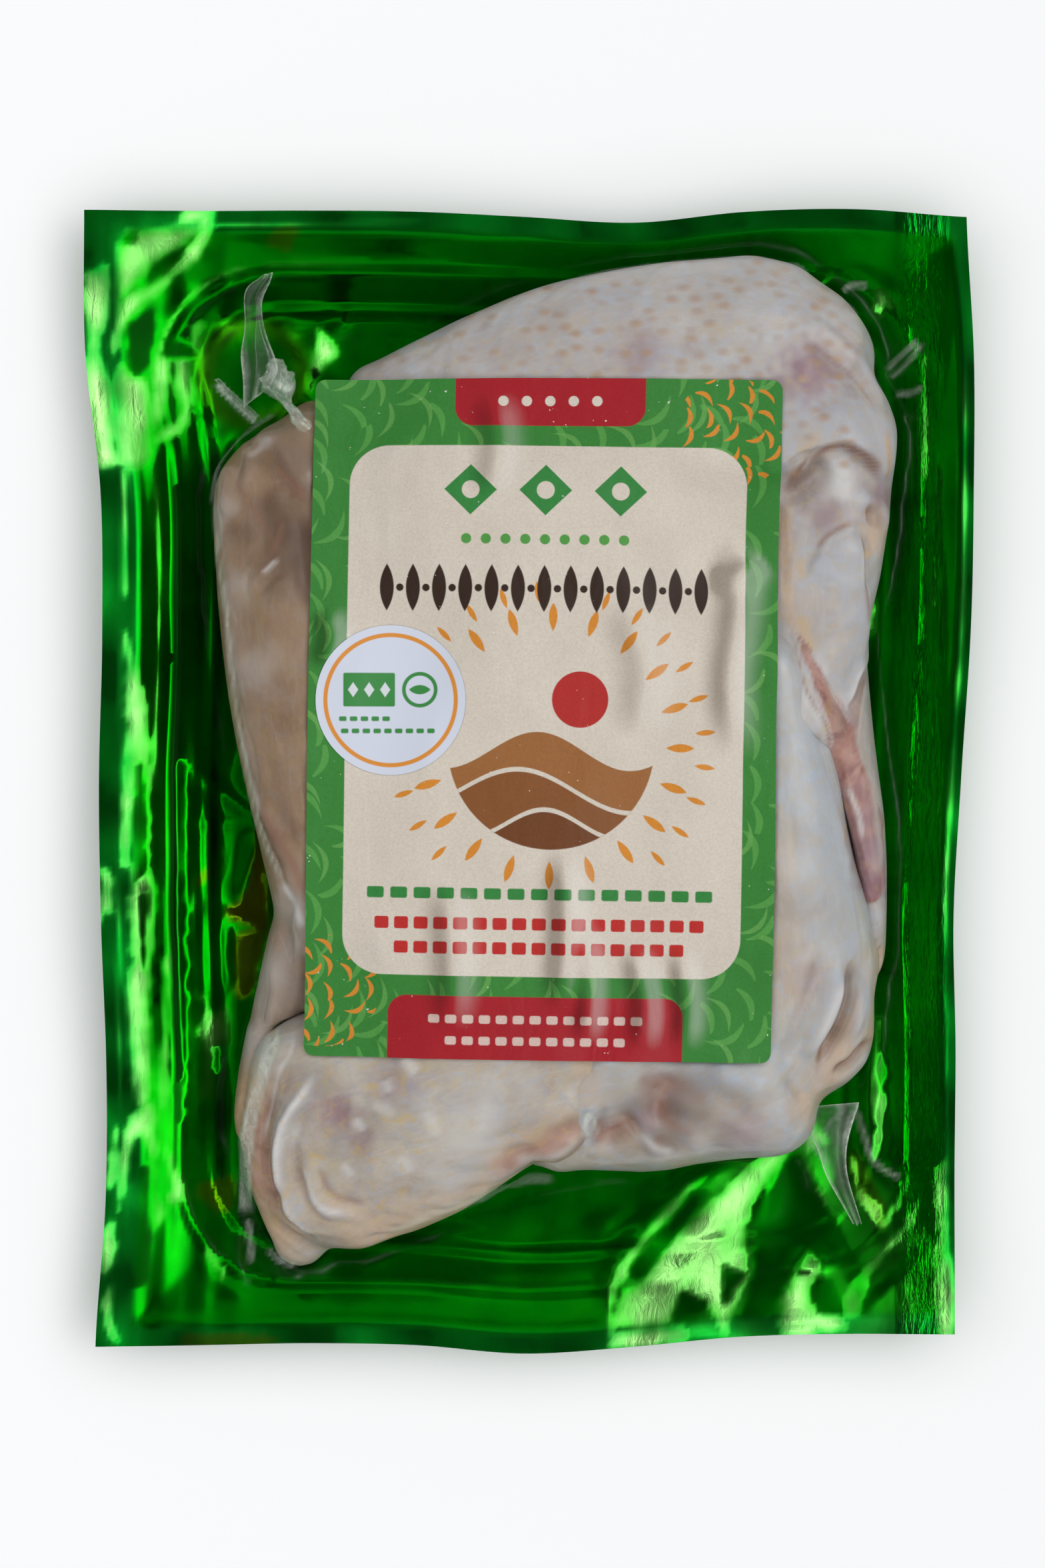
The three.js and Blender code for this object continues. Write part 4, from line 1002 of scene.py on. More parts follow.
# Where the film is loose enough to look milky, and thin lines of painted glint where it shines along a
# fold or an edge: line, half width and share
FILM_HAZES_AND_GLINTS = [
    ([(-54.4, -53.4), (-59, -68), (-61.6, -79), (-62.4, -90), (-61.8, -96)], 1.4, 0.8),
    ([(-60.8, -70), (-63, -82), (-63.3, -92)], 0.35, 1),
    ([(-53.6, -52), (-57.6, -66), (-60.3, -79), (-61, -90), (-60.6, -95)], 0.25, 1),
    ([(-68.4, 63.1), (-67.4, 50.1), (-65.3, 37.1), (-63.6, 20.6), (-61.5, 6.5), (-60, -1.8), (-58.5, -8.3),
     (-56.1, -14.7), (-52.1, -23.6)], 0.2, 0.7),
    ([(-57.6, -102.7), (-54.5, -105), (-50.9, -106)], 0.5, 0.5),
    ([(-62.1, -96.5), (-61.6, -101), (-61, -106)], 0.4, 0.5),
    ([(-30, -97.5), (-19, -92.5), (-12, -90.5)], 0.6, 0.35),
    ([(-19.4, -91.8), (-5, -88.6), (6, -87.6)], 1, 0.3),
    ([(-55.9, 81.3), (-62, 77), (-67.6, 69.1), (-69, 60)], 0.5, 0.4),
    ([(-69.2, 88.3), (-65, 84), (-60.2, 79.7)], 0.5, 1),
    ([(11.9, -76.2), (12, -73.6), (12.6, -70.9)], 0.2, 1),
    ([(12.6, -70.9), (13.9, -72.6), (14.7, -75.8)], 0.15, 1),
    ([(59.6, -76.5), (63, -80.5), (66.7, -85)], 0.3, 0.35),
    ([(72, -72), (74, -78), (76.4, -84), (81.8, -87.3)], 0.3, 0.5),
    ([(68.4, 106.4), (70.1, 108.6), (72.3, 109.2), (74.2, 108.6)], 0.35, 0.45),
    ([(79.1, 90.6), (81.7, 93.6), (85.5, 97)], 0.3, 0.5),
    ([(79.8, 88.9), (83.2, 92), (86.4, 96.2)], 0.25, 0.4),
    ([(81.3, 85.4), (84.3, 85.6), (86.6, 86.7)], 0.35, 0.4),
]


def shifted(field, down, across):
    """The field moved by whole cells, with its edge repeated."""
    rows, columns = field.shape
    r = np.clip(np.arange(rows) + down, 0, rows - 1)
    c = np.clip(np.arange(columns) + across, 0, columns - 1)
    return field[np.ix_(r, c)]


def rolled_over(field, radius, cell):
    """The surface that a ball leaves when it rolls over the field from above."""
    reach = int(radius / cell)
    steps = [(r, c) for r in range(-reach, reach + 1) for c in range(-reach, reach + 1)
             if math.hypot(r, c) * cell < radius]
    cap = {s: math.sqrt(radius**2 - (math.hypot(*s) * cell) ** 2) - radius for s in steps}
    raised = np.max([shifted(field, *s) + cap[s] for s in steps], axis=0)
    return np.min([shifted(raised, *s) - cap[s] for s in steps], axis=0)


def widened(field):
    return np.max([shifted(field, r, c) for r in (-1, 0, 1) for c in (-1, 0, 1)], axis=0)


def blurred(field, passes):
    for _ in range(passes):
        field = (shifted(field, 1, 0) + 2 * field + shifted(field, -1, 0)) / 4
        field = (shifted(field, 0, 1) + 2 * field + shifted(field, 0, -1)) / 4
    return field


def joined_copy(pieces, name):
    clear_selection()
    for piece in pieces:
        piece.select_set(True)
    bpy.context.view_layer.objects.active = pieces[0]
    bpy.ops.object.duplicate()
    bpy.ops.object.join()
    bpy.context.object.name = name
    return bpy.context.object


def project_down(sheet, target):
    apply_modifier(sheet, "SHRINKWRAP", target=target, wrap_method="PROJECT", use_project_z=True,
                   use_negative_direction=True, use_positive_direction=False)


film, film_order = add_sheet("clear_film_sheet", FILM_COLUMNS, FILM_ROWS)
grid = places(film) * MM
sheet_x = grid[:, 0] * (PACK_WIDTH / 2 - FILM_MARGIN)
sheet_y = grid[:, 1] * (PACK_LENGTH / 2 - FILM_MARGIN)
film_at = np.column_stack(drawn_in(sheet_x, sheet_y)) + SHIFT
move_to(film, np.column_stack([film_at, np.full(len(film_at), FILM_START)]))
contents = joined_copy([foil, *wings.values()], "contents")
project_down(film, contents)
touched = places(film)[:, 2][film_order]
print("points with nothing under them:", int((touched > FILM_START - 1).sum()))
cell = PACK_WIDTH / FILM_COLUMNS
under = widened(touched)
laid = np.maximum(blurred(rolled_over(under, FILM_BALL, cell), 2), under)
film_height = np.empty(len(film_at))
film_height[film_order] = laid
film_height += np.maximum(relief(film_at, FILM_FOLDS), 0) + FILM_LIFT
move_to(film, np.column_stack([film_at, film_height]))
# Milky haze of loose film, and painted glints: thin white lines along folds and edges
haze = np.zeros(len(film_at))
for line, width, share in FILM_HAZES_AND_GLINTS:
    distance, _, way = along_line(film_at, line)
    haze = np.maximum(haze, share * soft_step(width + 0.6 - distance, 0, 0.8) * ends_off(way, 0.08))
paint(film, "haze", haze)
foil_below = tray_height(sheet_x, sheet_y) + foil_relief(film_at) + FOIL
paint(film, "free", 0.06 + 0.94 * soft_step(film_height - foil_below, 0.8, 2.5))
bpy.data.objects.remove(contents)
print_faces(film)

# %% [markdown]
# ## Loose film: an ear, a knot and a flap
#
# Where the film had too much width, it gathered into a standing ear with a small twisted knot and a low
# fold at the upper left, and into a flap at the lower right. The ear, the fold and the flap are little
# sheets, shaped by formulas, because such a pleat is a strip that follows a line and widens and narrows
# along it. The knot is a closed tube round a bent line, crumpled by lumps.

# %% The strips of loose film
def add_strip(name, left, right, columns, rows, wave):
    """A sheet between two smooth lines of x, y, z, with ripples across it of the given height."""
    strip, _ = add_sheet(name, columns, rows)
    grid = places(strip) * MM
    across, up = (grid[:, 0] + 1) / 2, (grid[:, 1] + 1) / 2
    sides = []
    for line in (left, right):
        line = smooth_line(line, 8)
        share = np.linspace(0, 1, len(line))
        sides.append(np.column_stack([np.interp(up, share, line[:, k]) for k in range(3)]))
    at = sides[0] + (sides[1] - sides[0]) * across[:, None]
    at[:, 2] += wave * np.sin(across * 9 + up * 5) * np.sin(np.pi * across)
    at[:, 0] += 0.4 * wave * np.sin(up * 17)
    move_to(strip, at)
    # Painted glints: white lines along the strip's edges and streaks across it, where loose film shines
    glinting_long_edges = soft_step(np.abs(across - 0.5), 0.4, 0.5)
    glinting_short_edges = 0.6 * soft_step(np.abs(up - 0.5), 0.47, 0.5)
    ripples = 0.35 * np.clip(lumps(np.column_stack([across * 30, up * 12]), 9, 66), 0, 1)
    paint(strip, "edge", np.max([glinting_long_edges, glinting_short_edges, ripples], axis=0))
    print_faces(strip)
    return strip


def add_tube(name, path, radii, around=20, along=36, crumple=0.35):
    """A thin round skin along a path of x, y, z, with radii spread evenly along it and seeded dents."""
    tube, _ = add_sheet(name, around + 1, along)
    grid = places(tube) * MM
    turn, up = (grid[:, 0] + 1) * np.pi, (grid[:, 1] + 1) / 2
    path = smooth_line(path, 8)
    share = np.linspace(0, 1, len(path))
    middle = np.column_stack([np.interp(up, share, path[:, k]) for k in range(3)])
    radius = np.interp(up, np.linspace(0, 1, len(radii)), radii)
    ahead = path[-1] - path[0]
    ahead /= np.linalg.norm(ahead)
    first = np.cross(ahead, [0, 0, 1])
    first /= np.linalg.norm(first)
    second = np.cross(ahead, first)
    dents = lumps(np.column_stack([np.cos(turn), np.sin(turn)]) * 6 + up[:, None] * [17, 11], 5, 64)
    radius = radius * (1 + crumple * dents)
    outwards = np.cos(turn)[:, None] * first + np.sin(turn)[:, None] * second
    move_to(tube, middle + radius[:, None] * outwards)
    take_up(tube)
    bpy.ops.object.mode_set(mode="EDIT")
    bpy.ops.mesh.select_all(action="SELECT")
    bpy.ops.mesh.remove_doubles(threshold=0.01 * MM)
    bpy.ops.mesh.normals_make_consistent(inside=False)
    bpy.ops.object.mode_set(mode="OBJECT")
    # Painted glints on the knot's crumpled facets
    dents = lumps(places(tube)[:, [0, 2]] * [1, 0.7] + places(tube)[:, 1:2], 2.6, 65)
    paint(tube, "edge", 0.15 + 0.6 * np.clip(1.6 * dents - 0.3, 0, 1))
    print_faces(tube)
    return tube


ear = add_strip(
    "film_ear",
    [(-58.4, 111.4, 9), (-62.1, 107.9, 9), (-62.6, 99, 10), (-63.1, 91.1, 10), (-62.5, 82.1, 9)],
    [(-56.2, 111.8, 10), (-57.8, 106, 14), (-58.2, 100.8, 16), (-54.9, 91.1, 17), (-56.3, 86.3, 15)],
    12, 40, 0.5)
fold = add_strip(
    "film_fold",
    [(-69.6, 88.9, 3), (-66, 84.6, 3.4), (-60.6, 79.4, 5)],
    [(-68.6, 89.1, 4), (-64.8, 85.4, 6), (-59.4, 80.6, 8)],
    8, 24, 0.3)
knot = add_tube(
    "film_knot",
    [(-55.6, 92, 19), (-54.8, 88.6, 21), (-53.8, 85.6, 23), (-52, 81.6, 27), (-50, 78.6, 30),
     (-48, 76.2, 31)],
    [0.2, 2.4, 3.3, 2.9, 1.1, 1, 1.3, 1.6])
flap = add_strip(
    "film_flap",
    [(61, -70.5, 20), (61.4, -76, 14), (63.6, -81.5, 9), (66.9, -89.5, 7), (74.7, -102.9, 4.6)],
    [(72.3, -70.2, 12), (71.4, -74, 11), (69.6, -81.5, 10), (71.3, -91, 8), (75.1, -102.6, 5)],
    16, 50, 0.3)

# %% [markdown]
# ## The paper label
#
# The label is a sheet of paper of 100 by 145.5 mm with round corners. Paper bends one way easily but
# doesn't stretch, so it bridges the hollows between the wings. The same ball as for the film is used,
# with a far larger radius, then a blur, and a few soft creases are added. Its UV map runs once over the
# whole sheet, so that the print can be laid out in millimetres.

# %% The label on the film
LABEL_WIDTH, LABEL_LENGTH, LABEL_CORNER = 100, 145.5, 2.2
LABEL_CENTRE = np.array([2.9, 13.3])
LABEL_TURN = math.radians(-0.9)
LABEL_BALL, LABEL_BLURS, LABEL_LIFT, PAPER = 30, 10, 0.15, 0.2
LABEL_CREASES = {"ridge": [
    ([(55, 48), (56, 30), (55, 8)], 1.2, 3.2), ([(60, 30), (61, 14), (60, 2)], 0.9, 2.4),
    ([(30, 40), (32, 20), (31, 4)], 0.9, 3.5), ([(70, 26), (73, 12), (72, 1)], 1, 2.7),
    ([(80, 26), (82, 12), (81, 1)], 0.9, 2.6), ([(97, 108), (92, 104), (85, 103)], 1.3, 2.7),
    ([(90, 116), (92, 100), (90, 80), (93, 62)], 1.1, 3.5), ([(2, 96), (5, 90), (3, 82)], 1, 2.7),
    ([(37, 144), (40, 132), (38, 118)], 0.8, 3.5), ([(66, 100), (72, 84), (70, 66)], 0.8, 4.5),
]}


def round_corners(u, v, width, length, radius):
    """Moves the points near a sheet's corners inwards, so that each corner becomes a quarter circle."""
    du, dv = u - width / 2, v - length / 2
    past_u = np.maximum(np.abs(du) - (width / 2 - radius), 0)
    past_v = np.maximum(np.abs(dv) - (length / 2 - radius), 0)
    reach = np.hypot(past_u, past_v)
    share = np.where(reach > 0, np.maximum(past_u, past_v) / np.maximum(reach, 1e-9), 1)
    new_u = np.sign(du) * (np.abs(du) - past_u * (1 - share))
    new_v = np.sign(dv) * (np.abs(dv) - past_v * (1 - share))
    return new_u + width / 2, new_v + length / 2


def lay_paper(sheet, order, flat, target, ball, blurs, creases):
    move_to(sheet, np.column_stack([flat, np.full(len(flat), FILM_START)]))
    project_down(sheet, target)
    under = widened(places(sheet)[:, 2][order])
    laid = np.maximum(blurred(rolled_over(under, ball, 1.0), blurs), under)
    height = np.empty(len(flat))
    height[order] = blurred(laid, 2) + LABEL_LIFT
    height[order] = np.maximum(height[order], under + LABEL_LIFT)
    return height + creases


label, label_order = add_sheet("label_paper", 101, 147)
grid = places(label) * MM
label_u, label_v = (grid[:, 0] + 1) / 2 * LABEL_WIDTH, (grid[:, 1] + 1) / 2 * LABEL_LENGTH
label_u, label_v = round_corners(label_u, label_v, LABEL_WIDTH, LABEL_LENGTH, LABEL_CORNER)
off_u, off_v = label_u - LABEL_WIDTH / 2, label_v - LABEL_LENGTH / 2
turn_cos, turn_sin = math.cos(LABEL_TURN), math.sin(LABEL_TURN)
label_at = np.column_stack([off_u * turn_cos - off_v * turn_sin, off_u * turn_sin + off_v * turn_cos])
label_at += LABEL_CENTRE + SHIFT
on_label = np.column_stack([label_u, label_v])
creases = np.maximum(relief(on_label, LABEL_CREASES), 0)
left_flank = relief(on_label + [1, 0], LABEL_CREASES) - relief(on_label - [1, 0], LABEL_CREASES)
creases += 0.12 * (1 + lumps(label_at, 14, 61))
label_height = lay_paper(label, label_order, label_at, film, LABEL_BALL, LABEL_BLURS, creases)
move_to(label, np.column_stack([label_at, label_height]))
corner_index = np.empty(len(label.data.loops), dtype=int)
label.data.loops.foreach_get("vertex_index", corner_index)
uv = np.column_stack([label_u / LABEL_WIDTH, label_v / LABEL_LENGTH])[corner_index]
label.data.uv_layers[0].data.foreach_set("uv", uv.astype(np.float32).ravel())
# Painted shade and painted light along the creases: the slope across each crease, kept for the material
paint(label, "painted_crease_shading", np.clip(0.5 + 0.9 * left_flank, 0, 1))
apply_modifier(label, "SOLIDIFY", thickness=PAPER * MM, offset=1, use_even_offset=False)
sharpen(label)
print_faces(label)

# %% [markdown]
# ## The round sticker
#
# The sticker is a disc of 32 mm. A circle is filled, inset ring by ring so that it has points to bend at,
# laid onto the label and given its thickness.

# %% The sticker on the label
STICKER_RADIUS, STICKER_POINTS, STICKER_RINGS, STICKER_LIFT = 16, 96, 15, 0.1
STICKER_CENTRE = np.array([-29.4, 17.4]) + SHIFT

clear_selection()
bpy.ops.mesh.primitive_circle_add(vertices=STICKER_POINTS, radius=STICKER_RADIUS * MM, fill_type="NGON",
                                  location=tuple(np.array([*STICKER_CENTRE, FILM_START]) * MM))
sticker = bpy.context.object
sticker.name = sticker.data.name = "round_sticker_paper"
bpy.ops.object.mode_set(mode="EDIT")
bpy.ops.mesh.select_all(action="SELECT")
for _ in range(STICKER_RINGS):
    bpy.ops.mesh.inset(thickness=STICKER_RADIUS / (STICKER_RINGS + 1) * MM, depth=0)
bpy.ops.mesh.poke()
bpy.ops.object.mode_set(mode="OBJECT")
bpy.ops.object.transform_apply(location=True, rotation=True, scale=True)
bpy.ops.object.shade_smooth()
project_down(sticker, label)
at = places(sticker)
at[:, 2] += STICKER_LIFT
move_to(sticker, at)
apply_modifier(sticker, "SOLIDIFY", thickness=PAPER * MM, offset=1, use_even_offset=False)
sharpen(sticker)
print_faces(sticker)

# %% [markdown]
# ## Materials: shared helpers
#
# Each finish is a node tree. Colours are given as 0 to 255, as a picture editor shows them, and turned
# into the linear numbers that Blender works with. Patterns read Object coordinates, which are metres on
# these pieces, or the label's UV map.

# %% Building node trees
def linear(red, green, blue):
    def one(v):
        v /= 255
        return v / 12.92 if v <= 0.04045 else ((v + 0.055) / 1.055) ** 2.4
    return (one(red), one(green), one(blue), 1)


def new_material(name):
    material = bpy.data.materials.new(name)
    material.use_nodes = True
    tree = material.node_tree
    return material, tree, tree.nodes["Principled BSDF"]


def feed(tree, socket, value):
    """Links an output to a socket, or sets the socket to a plain value."""
    if isinstance(value, bpy.types.NodeSocket):
        tree.links.new(value, socket)
    else:
        socket.default_value = value


def fill(tree, made, sockets):
    """Feeds a node's sockets, which are given by their names or numbers."""
    for name, value in sockets.items():
        feed(tree, made.inputs[name], value)


def node(tree, kind, sockets=None, **settings):
    made = tree.nodes.new(kind)
    for name, value in settings.items():
        setattr(made, name, value)
    fill(tree, made, sockets or {})
    return made


def sums(tree, operation, *values, clamp=False):
    sockets = dict(enumerate(values))
    return node(tree, "ShaderNodeMath", sockets, operation=operation, use_clamp=clamp).outputs[0]


def blend_colours(tree, share, first, second, mode="MIX"):
    sockets = {0: share, 6: first, 7: second}
    return node(tree, "ShaderNodeMix", sockets, data_type="RGBA", blend_type=mode).outputs[2]


def ramp(tree, value, stops):
    """Colours or greys along a value, as (place, colour) stops."""
    made = node(tree, "ShaderNodeValToRGB", {0: value})
    points = made.color_ramp.elements
    while len(points) < len(stops):
        points.new(0.5)
    for point, (place, colour) in zip(points, stops):
        point.position = place
        point.color = colour if isinstance(colour, tuple) else (colour, colour, colour, 1)
    return made.outputs[0]


def object_places(tree, scale=(1, 1, 1), turn=0.0):
    here = node(tree, "ShaderNodeTexCoord").outputs["Object"]
    return node(tree, "ShaderNodeMapping", {0: here, "Scale": scale, "Rotation": (0, 0, turn)}).outputs[0]


def noise(tree, here, size, detail, rough, bend=0.0):
    """Noise whose blobs are about size millimetres."""
    sockets = {"Vector": here, "Scale": 1 / (size * MM), "Detail": detail, "Roughness": rough,
               "Distortion": bend}
    return node(tree, "ShaderNodeTexNoise", sockets).outputs["Fac"]


def painted(tree, name):
    return node(tree, "ShaderNodeAttribute", attribute_name=name).outputs["Fac"]


def bumps(tree, layers, normal=None):
    """Bumps over each other: a height of 0 to 1, and the millimetres that 1 stands for."""
    for height, depth in layers:
        made = node(tree, "ShaderNodeBump", {"Height": height, "Strength": 1, "Distance": depth * MM})
        if normal is not None:
            feed(tree, made.inputs["Normal"], normal)
        normal = made.outputs[0]
    return normal


def dress(piece, material):
    piece.data.materials.clear()
    piece.data.materials.append(material)


# %% [markdown]
# ## Green foil
#
# Metallised foil is a mirror with a colour: metallic 1, a saturated green and a low roughness. A mirror
# that is lit strongly goes from green to pale green in a photo, so the hearts of the bright patches get a
# painted highlight: a paler base colour. A few places get a painted yellow reflection, a yellow-green base
# colour. Fine wrinkles along the right wall are bump, too small for the mesh.

# %% The foil's material
FOIL_GREENS = [(0.3, linear(0, 134, 3)), (0.55, linear(0, 150, 4)), (0.8, linear(10, 170, 5))]
RIM_GREEN, PAINTED_HIGHLIGHT_GREEN, PAINTED_REFLECTION_OLIVE = linear(14, 156, 52), linear(158, 216, 128), linear(104, 124, 0)
FOIL_ROUGHNESS = [(0.35, 0.1), (0.7, 0.2)]
WRINKLED_WALL = [(0.80, 0), (0.83, 1), (0.89, 1), (0.92, 0)]  # places across, in tenths of a metre


def foil_material():
    material, tree, shader = new_material("green_foil")
    here = object_places(tree)
    cloudy = noise(tree, here, 30, 4, 0.6, 0.5)
    fine = noise(tree, here, 4, 5, 0.65, 0.8)
    green = ramp(tree, cloudy, FOIL_GREENS)
    rim = sums(tree, "MULTIPLY", painted(tree, "rim"), 0.6)
    green = blend_colours(tree, rim, green, RIM_GREEN)
    # Painted highlight: a paler green where the foil mirrors the window
    green = blend_colours(tree, painted(tree, "pale"), green, PAINTED_HIGHLIGHT_GREEN)
    # Painted yellow reflection: a yellow-green base colour at a few places
    green = blend_colours(tree, painted(tree, "painted_yellow_reflection"), green, PAINTED_REFLECTION_OLIVE)
    across = node(tree, "ShaderNodeSeparateXYZ", {0: here}).outputs[0]
    wall = ramp(tree, sums(tree, "MULTIPLY", across, 10), WRINKLED_WALL)
    drawn = noise(tree, object_places(tree, (1, 0.16, 1)), 1.3, 3, 0.6, 0.4)
    wrinkles = sums(tree, "MULTIPLY", drawn, wall)
    wavy = noise(tree, object_places(tree, (1, 0.4, 1)), 9, 2, 0.45, 0.4)
    brushed = noise(tree, object_places(tree, (1, 0.3, 1), -0.5), 2.2, 4, 0.6, 0.8)
    brushed = sums(tree, "MULTIPLY", brushed, painted(tree, "pale"))
    facing = node(tree, "ShaderNodeNewGeometry").outputs["Normal"]
    lean = node(tree, "ShaderNodeAttribute", attribute_name="lean").outputs["Vector"]
    normal = node(tree, "ShaderNodeVectorMath", {0: facing, 1: lean}, operation="ADD").outputs[0]
    normal = node(tree, "ShaderNodeVectorMath", {0: normal}, operation="NORMALIZE").outputs[0]
    normal = bumps(tree, [(wavy, 0.1), (brushed, 0.22), (wrinkles, 0.5), (fine, 0.02)], normal)
    fill(tree, shader, {"Base Color": green, "Metallic": 1, "Normal": normal,
                        "Roughness": ramp(tree, fine, FOIL_ROUGHNESS)})
    return material


dress(foil, foil_material())
print("foil nodes:", len(foil.data.materials[0].node_tree.nodes))

# %% [markdown]
# ## Raw skin
#
# Raw chicken skin is pale, wet and slightly see-through: pinkish flesh, bluish white fascia and yellow
# fat show through it in cloudy patches. So layers of noise mix those colours, some of them drawn out
# along the limb, as the fibres below the skin run. The numbers kept on the points then add what lies at
# one place only: fat, darker meat and bruises, which are the skin's own colour, painted shade in
# creases, hollows and shaded places, painted light on ridges and on some shaded places, and painted
# gleams where the film shines on a fold. Light scatters below the surface, which softens every edge.
# The upper wing also has rows of feather follicles.

# %% The skin's material
# The skin's own colours, and colours of painted shade in hollows, creases and shaded places, of painted
# light and of painted gleams
WARM, STRAND, PAINTED_HOLLOW_SHADE = linear(202, 168, 138), linear(206, 202, 200), linear(146, 116, 104)
PALER_TONE_AND_PAINTED_LIGHT, PAINTED_SHADE_BROWN, BARE_FAT = linear(204, 203, 206), linear(78, 54, 40), linear(204, 166, 104)
PAINTED_FOLD_SHADE, PAINTED_GLEAM_WHITE = linear(138, 100, 84), linear(212, 208, 208)
FAT_DROP, FOLLICLE = linear(196, 164, 104), linear(170, 138, 112)
MEAT_REDS = linear(136, 80, 74), linear(176, 128, 114)
BRUISE_BLUES = linear(124, 84, 100), linear(148, 116, 128)
# How far light scatters in the skin: red, green and blue, in parts of the depth in mm
SCATTER, SCATTER_DEPTH = (1.0, 0.45, 0.3), 1.6


def skin_material(name, pale, deep, cool, fat, grained, follicles, spots):
    """Cloudy skin of four colours, with strands along the limb, and shares of follicles and fat spots."""
    material, tree, shader = new_material(name)
    here = object_places(tree)
    broad = noise(tree, here, 22, 4, 0.55, 0.8)
    cloudy = noise(tree, here, 8, 5, 0.6, 1.2)
    marbled = noise(tree, here, 4.2, 4, 0.6, 1.6)
    fine = noise(tree, here, 2.2, 4, 0.6, 0.6)
    along = sums(tree, "MULTIPLY", painted(tree, "along"), 0.28 * MM)
    across = sums(tree, "MULTIPLY", painted(tree, "across"), MM)
    limb = node(tree, "ShaderNodeCombineXYZ", {0: along, 1: across}).outputs[0]
    streaky = noise(tree, limb, 7, 4, 0.6, 1.2)
    strands = noise(tree, limb, 2.4, 4, 0.6, 1.6)
    hollow = painted(tree, "relief")
    colour = pale

    def lay(share, ink):
        nonlocal colour
        colour = blend_colours(tree, share, colour, ink)

    def lay_by(pattern, low, high, ink):
        lay(ramp(tree, pattern, [low, high]), ink)

    lay_by(broad, (0.38, 0), (0.66, 1), deep)
    lay_by(cloudy, (0.48, 0), (0.68, 0.75), cool)
    lay_by(streaky, (0.52, 0), (0.72, 0.6), fat)
    lay(sums(tree, "MULTIPLY", painted(tree, "warm"), 0.85), WARM)
    lay_by(fine, (0.4, 0), (0.75, 0.3), deep)
    lay_by(strands, (0.5, 0), (0.7, 0.4 * grained), STRAND)
    lay_by(strands, (0.3, 0.35 * grained), (0.46, 0), deep)
    # Painted shade in the valleys of the relief, and painted light, a cool pale colour, on its ridges
    lay_by(hollow, (0.05, 0.5), (0.42, 0), PAINTED_HOLLOW_SHADE)
    lay_by(hollow, (0.55, 0), (0.8, 0.5), cool)
    lay_by(marbled, (0.5, 0), (0.64, 0.45), fat)
    lay_by(marbled, (0.32, 0.45), (0.44, 0), cool)
    # Painted light with paler tone, painted shade with darker tone, bare fat, and painted shade in the
    # creases
    lay(painted(tree, "painted_light_and_paler_tone"), PALER_TONE_AND_PAINTED_LIGHT)
    lay_by(painted(tree, "painted_shade_and_darker_tone"), (0, 0), (1, 0.85), PAINTED_SHADE_BROWN)
    lay(painted(tree, "fatty"), BARE_FAT)
    lay(painted(tree, "painted_fold_shade_share"), PAINTED_FOLD_SHADE)
    meat = blend_colours(tree, ramp(tree, cloudy, [(0.4, 0), (0.6, 1)]), *MEAT_REDS)
    lay_by(painted(tree, "meat"), (0, 0), (1, 0.95), meat)
    lay_by(painted(tree, "bruise"), (0, 0), (0.9, 0.8), blend_colours(tree, cloudy, *BRUISE_BLUES))
    # Painted gleams: pale lines where the film shines on a fold
    lay(sums(tree, "MULTIPLY", painted(tree, "painted_gleam_share"), 0.85), PAINTED_GLEAM_WHITE)
    if spots:
        drops = ramp(tree, noise(tree, here, 3.2, 2, 0.5, 0.6), [(0.58, 0), (0.74, 1)])
        lay(sums(tree, "MULTIPLY", drops, spots), FAT_DROP)
    layers = [(cloudy, 0.2), (strands, 0.1), (fine, 0.08)]
    if follicles:
        sockets = {"Vector": object_places(tree, (215, 330, 1), -0.3), "Scale": 1, "Randomness": 0.55}
        cells = node(tree, "ShaderNodeTexVoronoi", sockets, feature="F1")
        pits = ramp(tree, cells.outputs["Distance"], [(0.1, 1), (0.42, 0)])
        share = sums(tree, "MULTIPLY", pits, follicles)
        share = sums(tree, "MULTIPLY", share, ramp(tree, broad, [(0.35, 0.45), (0.6, 1)]))
        lay(sums(tree, "MULTIPLY", share, painted(tree, "plucked")), FOLLICLE)
        layers.append((pits, 0.15))
    fill(tree, shader, {
        "Base Color": colour, "Normal": bumps(tree, layers),
        "Roughness": ramp(tree, fine, [(0.3, 0.34), (0.7, 0.52)]), "Specular IOR Level": 0.35,
        "Subsurface Weight": 0.22, "Subsurface Radius": SCATTER, "Subsurface Scale": SCATTER_DEPTH * MM,
    })
    return material


# Pale, deep, cool and fatty colour, then how strong the strands, the follicles and the spots are
SKINS = {
    "upper": [(186, 181, 182), (168, 156, 154), (174, 177, 188), (184, 170, 154), 0.45, 0.75, 0.25],
    "right": [(180, 182, 188), (172, 162, 154), (172, 180, 194), (184, 172, 156), 0.6, 0, 0],
    "lower": [(188, 179, 171), (162, 143, 131), (164, 163, 172), (186, 170, 142), 0.5, 0, 0.5],
    # The left wing's colours are darker and browner than the others: partly its own colour, partly painted
    # shade
    "left": [(152, 126, 104), (130, 101, 80), (146, 126, 112), (152, 126, 94), 0.2, 0, 0],
}
for part, (*colours, grained, follicles, spots) in SKINS.items():
    inks = [linear(*c) for c in colours]
    dress(wings[part], skin_material("raw_skin_" + part, *inks, grained, follicles, spots))
print("skins:", [w.data.materials[0].name for w in wings.values()])

# %% [markdown]
# ## Clear film
#
# The film itself is almost invisible. What shows is its gloss, which grows towards grazing angles, and a
# faint milky haze where it is folded or stands in a pleat. A Fresnel share mixes a transparent and a
# glossy shader, and the haze is a weak white diffuse part, driven by the numbers kept on the points. The
# same white is also laid in thin lines along some folds and along the edges of the loose pieces, as
# painted glints.

# %% The film's material
FILM_TINT, FILM_MILK, WHITE = (0.97, 0.985, 0.975, 1), linear(222, 232, 218), (1, 1, 1, 1)
FILM_IOR, FILM_ROUGHNESS = 1.5, 0.12


